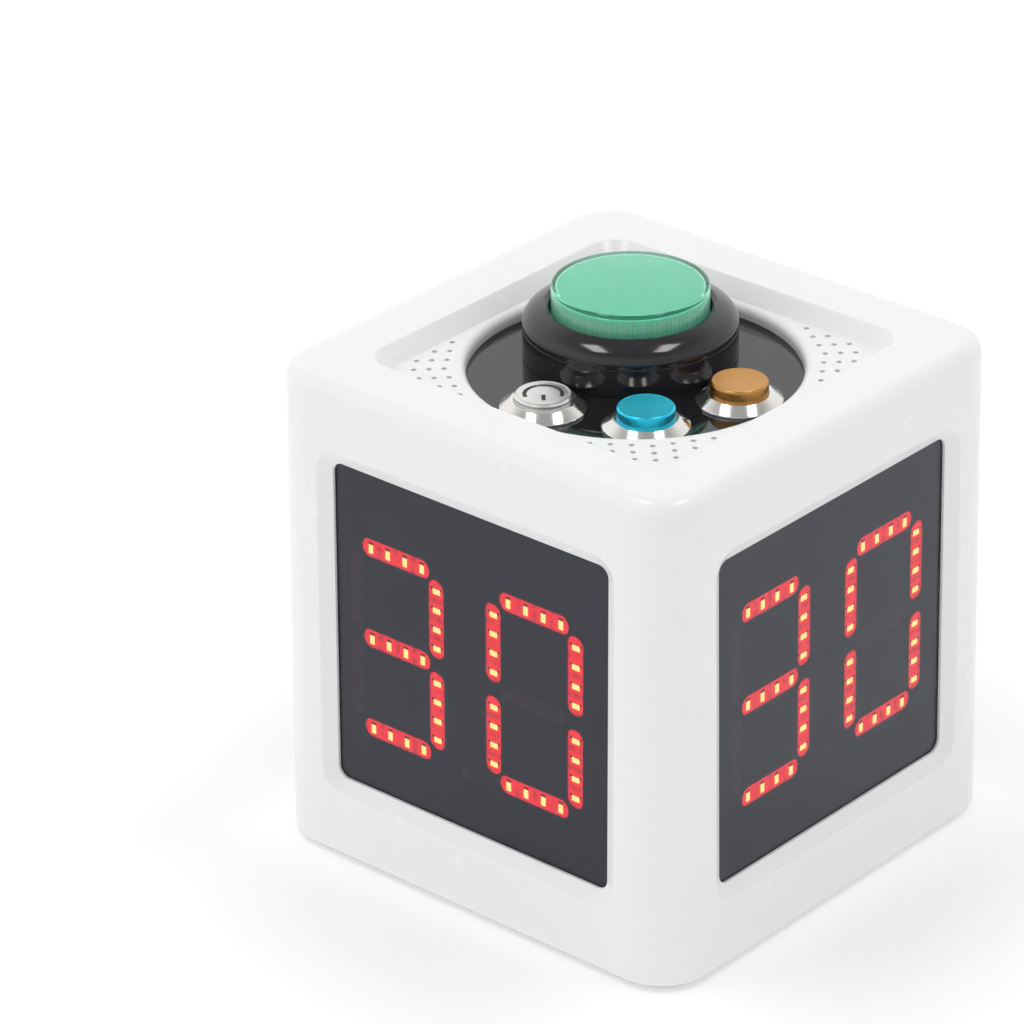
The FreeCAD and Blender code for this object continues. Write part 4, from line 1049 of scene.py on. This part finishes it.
finish(tab_skin("switch_skin", base), "microswitch")
red_pin = moulded("red_pin", (0.55, 0.03, 0.025), 0.3, grain=3000.0, texture=0.05, uneven=0.08)
finish(red_pin, "microswitch_pin")
lamp_clear = moulded("lamp_clear", (0.92, 0.92, 0.86), 0.08, grain=900.0, texture=0.02,
                     Transmission_Weight=0.7)
finish(lamp_clear, "button_lamp")
for colour_name in ("power", "blue", "orange"):
    low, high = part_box(colour_name + "_button_terminals")
    finish(tab_skin(colour_name + "_tabs", high.z - 4.0 * MM), colour_name + "_button_terminals")

# ---- loudspeaker ----
# A small loudspeaker behind the grille holes of the rear corner: pressed steel basket, rolled surround,
# thin black cone and a domed cap in the middle, with its magnet underneath.
SPEAKER_RIM = 1.0 * MM
ROLL = 0.35 * MM
DOME_R = 2.6 * MM
low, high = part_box("loudspeaker")
centre, radius, top = (low + high) / 2, (high.x - low.x) / 2, high.z
basket = bmesh.new()
cone_edge = radius - SPEAKER_RIM
lathe(basket, ((0, top - 0.9 * MM, 0), (DOME_R * 0.6, top - 1.0 * MM, 0.2 * MM),
               (DOME_R, top - 1.5 * MM, 0.1 * MM),
               (cone_edge - 4 * ROLL, top - 0.95 * MM, 0), (cone_edge - 2 * ROLL, top - 0.45 * MM, ROLL),
               (cone_edge, top - 0.9 * MM, 0.1 * MM), (cone_edge, top, 0.1 * MM), (radius, top, 0.15 * MM),
               (radius, low.z + 1.0 * MM, 0.3 * MM), (radius * 0.7, low.z + 0.9 * MM, 0.1 * MM),
               (radius * 0.68, low.z, 0.3 * MM), (0, low.z, 0)), centre)
for face in basket.faces:
    spot = face.calc_center_median()
    out = math.hypot(spot.x - centre.x, spot.y - centre.y)
    face.material_index = 1 if out < cone_edge and spot.z > low.z + 1.2 * MM else 0
cone = moulded("cone_film", (0.02, 0.02, 0.02), 0.35, grain=1200.0, texture=0.2, uneven=0.2)
pressed = turned("pressed_steel", (0.56, 0.56, 0.57), 0.3, centre, ring=0.05)
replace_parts(new_piece("speaker_basket", basket, "root", "steel", pressed, cone), "loudspeaker")

# ---- battery ----
# One round lithium cell in a printed blue shrink sleeve with bare nickel ends lies in a moulded nylon cradle
# on the base plate.
SLEEVE_BLUE = (0.02, 0.13, 0.42)
SLEEVE_BAND = (0.70, 0.72, 0.76)
BAND_AT = 12 * MM           # band's middle from the cell's end
BAND_HALF = 1.5 * MM
BUTTON_R = 3.0 * MM
BUTTON_HIGH = 1.0 * MM
sleeve, tree, shader = new_material("shrink_sleeve", Coat_Weight=0.5, Coat_Roughness=0.12)
place = object_place(tree)
skin = use(tree, SKIN, {"Vector": place, "Grain": 1500.0, "Dust": 0.02})
along = add(tree, "SeparateXYZ", {0: place}).outputs["X"]
low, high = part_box("battery_cell")
from_band = calc(tree, "ABSOLUTE", calc(tree, "SUBTRACT", along, high.x - BAND_AT))
band = calc(tree, "LESS_THAN", from_band, BAND_HALF)
blue = mixed(tree, skin["Unevenness"], SLEEVE_BLUE, tuple(c * 1.15 for c in SLEEVE_BLUE))
feed(tree, shader.inputs["Base Color"], mixed(tree, band, blue, SLEEVE_BAND))
feed(tree, shader.inputs["Roughness"], scaled(tree, skin["Unevenness"], 0.0, 1.0, 0.25, 0.38))
roughen(tree, shader, 0.08, skin["Height"])
nickel_end = turned("nickel_end", (0.70, 0.68, 0.64), 0.2, (0, 0, 0), ring=0.04)
middle = (low + high) / 2
cell_r = (high.z - low.z) / 2
end_x = high.x - BUTTON_HIGH - middle.x
cell = bmesh.new()
lathe(cell, ((0, end_x + BUTTON_HIGH, 0), (BUTTON_R, end_x + BUTTON_HIGH, 0.2 * MM),
             (BUTTON_R, end_x - 0.1 * MM, 0),
             (cell_r - 2.2 * MM, end_x - 0.1 * MM, 0), (cell_r - 1.8 * MM, end_x, 0.05 * MM),
             (cell_r, end_x, 0.4 * MM), (cell_r, end_x - 2.6 * MM, 0.2 * MM),
             (cell_r - 0.25 * MM, end_x - 3.1 * MM, 0.2 * MM), (cell_r, end_x - 3.6 * MM, 0.2 * MM),
             (cell_r, low.x - middle.x, 0.4 * MM), (cell_r - 1.2 * MM, low.x - middle.x, 0.05 * MM),
             (0, low.x - middle.x + 0.05 * MM, 0)), Vector((0, 0, 0)))
for face in cell.faces:
    spot = face.calc_center_median()
    out = math.hypot(spot.x, spot.y)
    face.material_index = 1 if out < cell_r - 1.4 * MM else 0
bmesh.ops.transform(cell, matrix=Matrix.Translation(middle) @ Matrix.Rotation(math.radians(90), 4, "Y"),
                    verts=cell.verts)
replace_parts(new_piece("sleeved_cell", cell, "root", "battery_wrap", sleeve, nickel_end), "battery_cell")

# ---- charging socket ----
# A USB-C receptacle low in the back: a drawn stainless shell with a black tongue inside, soldered to the
# small charging board.
TONGUE_HALF_WIDE = 3.35 * MM
TONGUE_HALF_HIGH = 0.4 * MM
low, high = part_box("charging_port")
middle = (low + high) / 2
port, tree, shader = new_material("socket_shell")
place = object_place(tree)
spots = use(tree, LATHE, {"Vector": place, "Centre": tuple(middle), "Lines": 2500.0})
axes = add(tree, "SeparateXYZ", {0: place}).outputs
from_x, from_z = (calc(tree, "ABSOLUTE", calc(tree, "SUBTRACT", axes[axis], place_on))
                  for axis, place_on in (("X", middle.x), ("Z", middle.z)))
tongue = calc(tree, "MULTIPLY", calc(tree, "LESS_THAN", from_x, TONGUE_HALF_WIDE),
              calc(tree, "LESS_THAN", from_z, TONGUE_HALF_HIGH))
shell = mixed(tree, spots["Ring"], (0.60, 0.60, 0.61), (0.66, 0.66, 0.67))
feed(tree, shader.inputs["Base Color"], mixed(tree, tongue, shell, (0.02, 0.02, 0.02)))
feed(tree, shader.inputs["Metallic"], calc(tree, "SUBTRACT", 1.0, tongue))
feed(tree, shader.inputs["Roughness"], scaled(tree, spots["Wear"], 0.0, 1.0, 0.22, 0.34))
finish(port, "charging_port")

# ---- base plate and feet ----
# A flat white ABS plate closes the bottom behind four screws, and four round rubber feet are glued into
# shallow seats in it. Rubber seals sit under the metal buttons' nuts.
finish(WHITE_ABS, "base_plate")
rubber = moulded("black_rubber", (0.025, 0.025, 0.025), 0.7, grain=2500.0, texture=0.25, uneven=0.2)
finish(rubber, "power_button_seal", "blue_button_seal", "orange_button_seal")
feet = bmesh.new()
for places in islands("rubber_feet"):
    low, high = box_of(places)
    foot_r = (high.x - low.x) / 2
    spot = (low + high) / 2
    foot = bmesh.new()
    lathe(foot, ((0, high.z, 0), (foot_r, high.z, 0.05 * MM), (foot_r, low.z + 0.8 * MM, 0.2 * MM),
                 (foot_r - 0.8 * MM, low.z, 0.2 * MM), (foot_r * 0.55, low.z, 0.1 * MM),
                 (foot_r * 0.5, low.z + 0.3 * MM, 0.1 * MM), (0, low.z + 0.3 * MM, 0)), spot, steps=48)
    join_in(feet, foot)
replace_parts(new_piece("round_feet", feet, "root", "rubber", rubber), "rubber_feet")
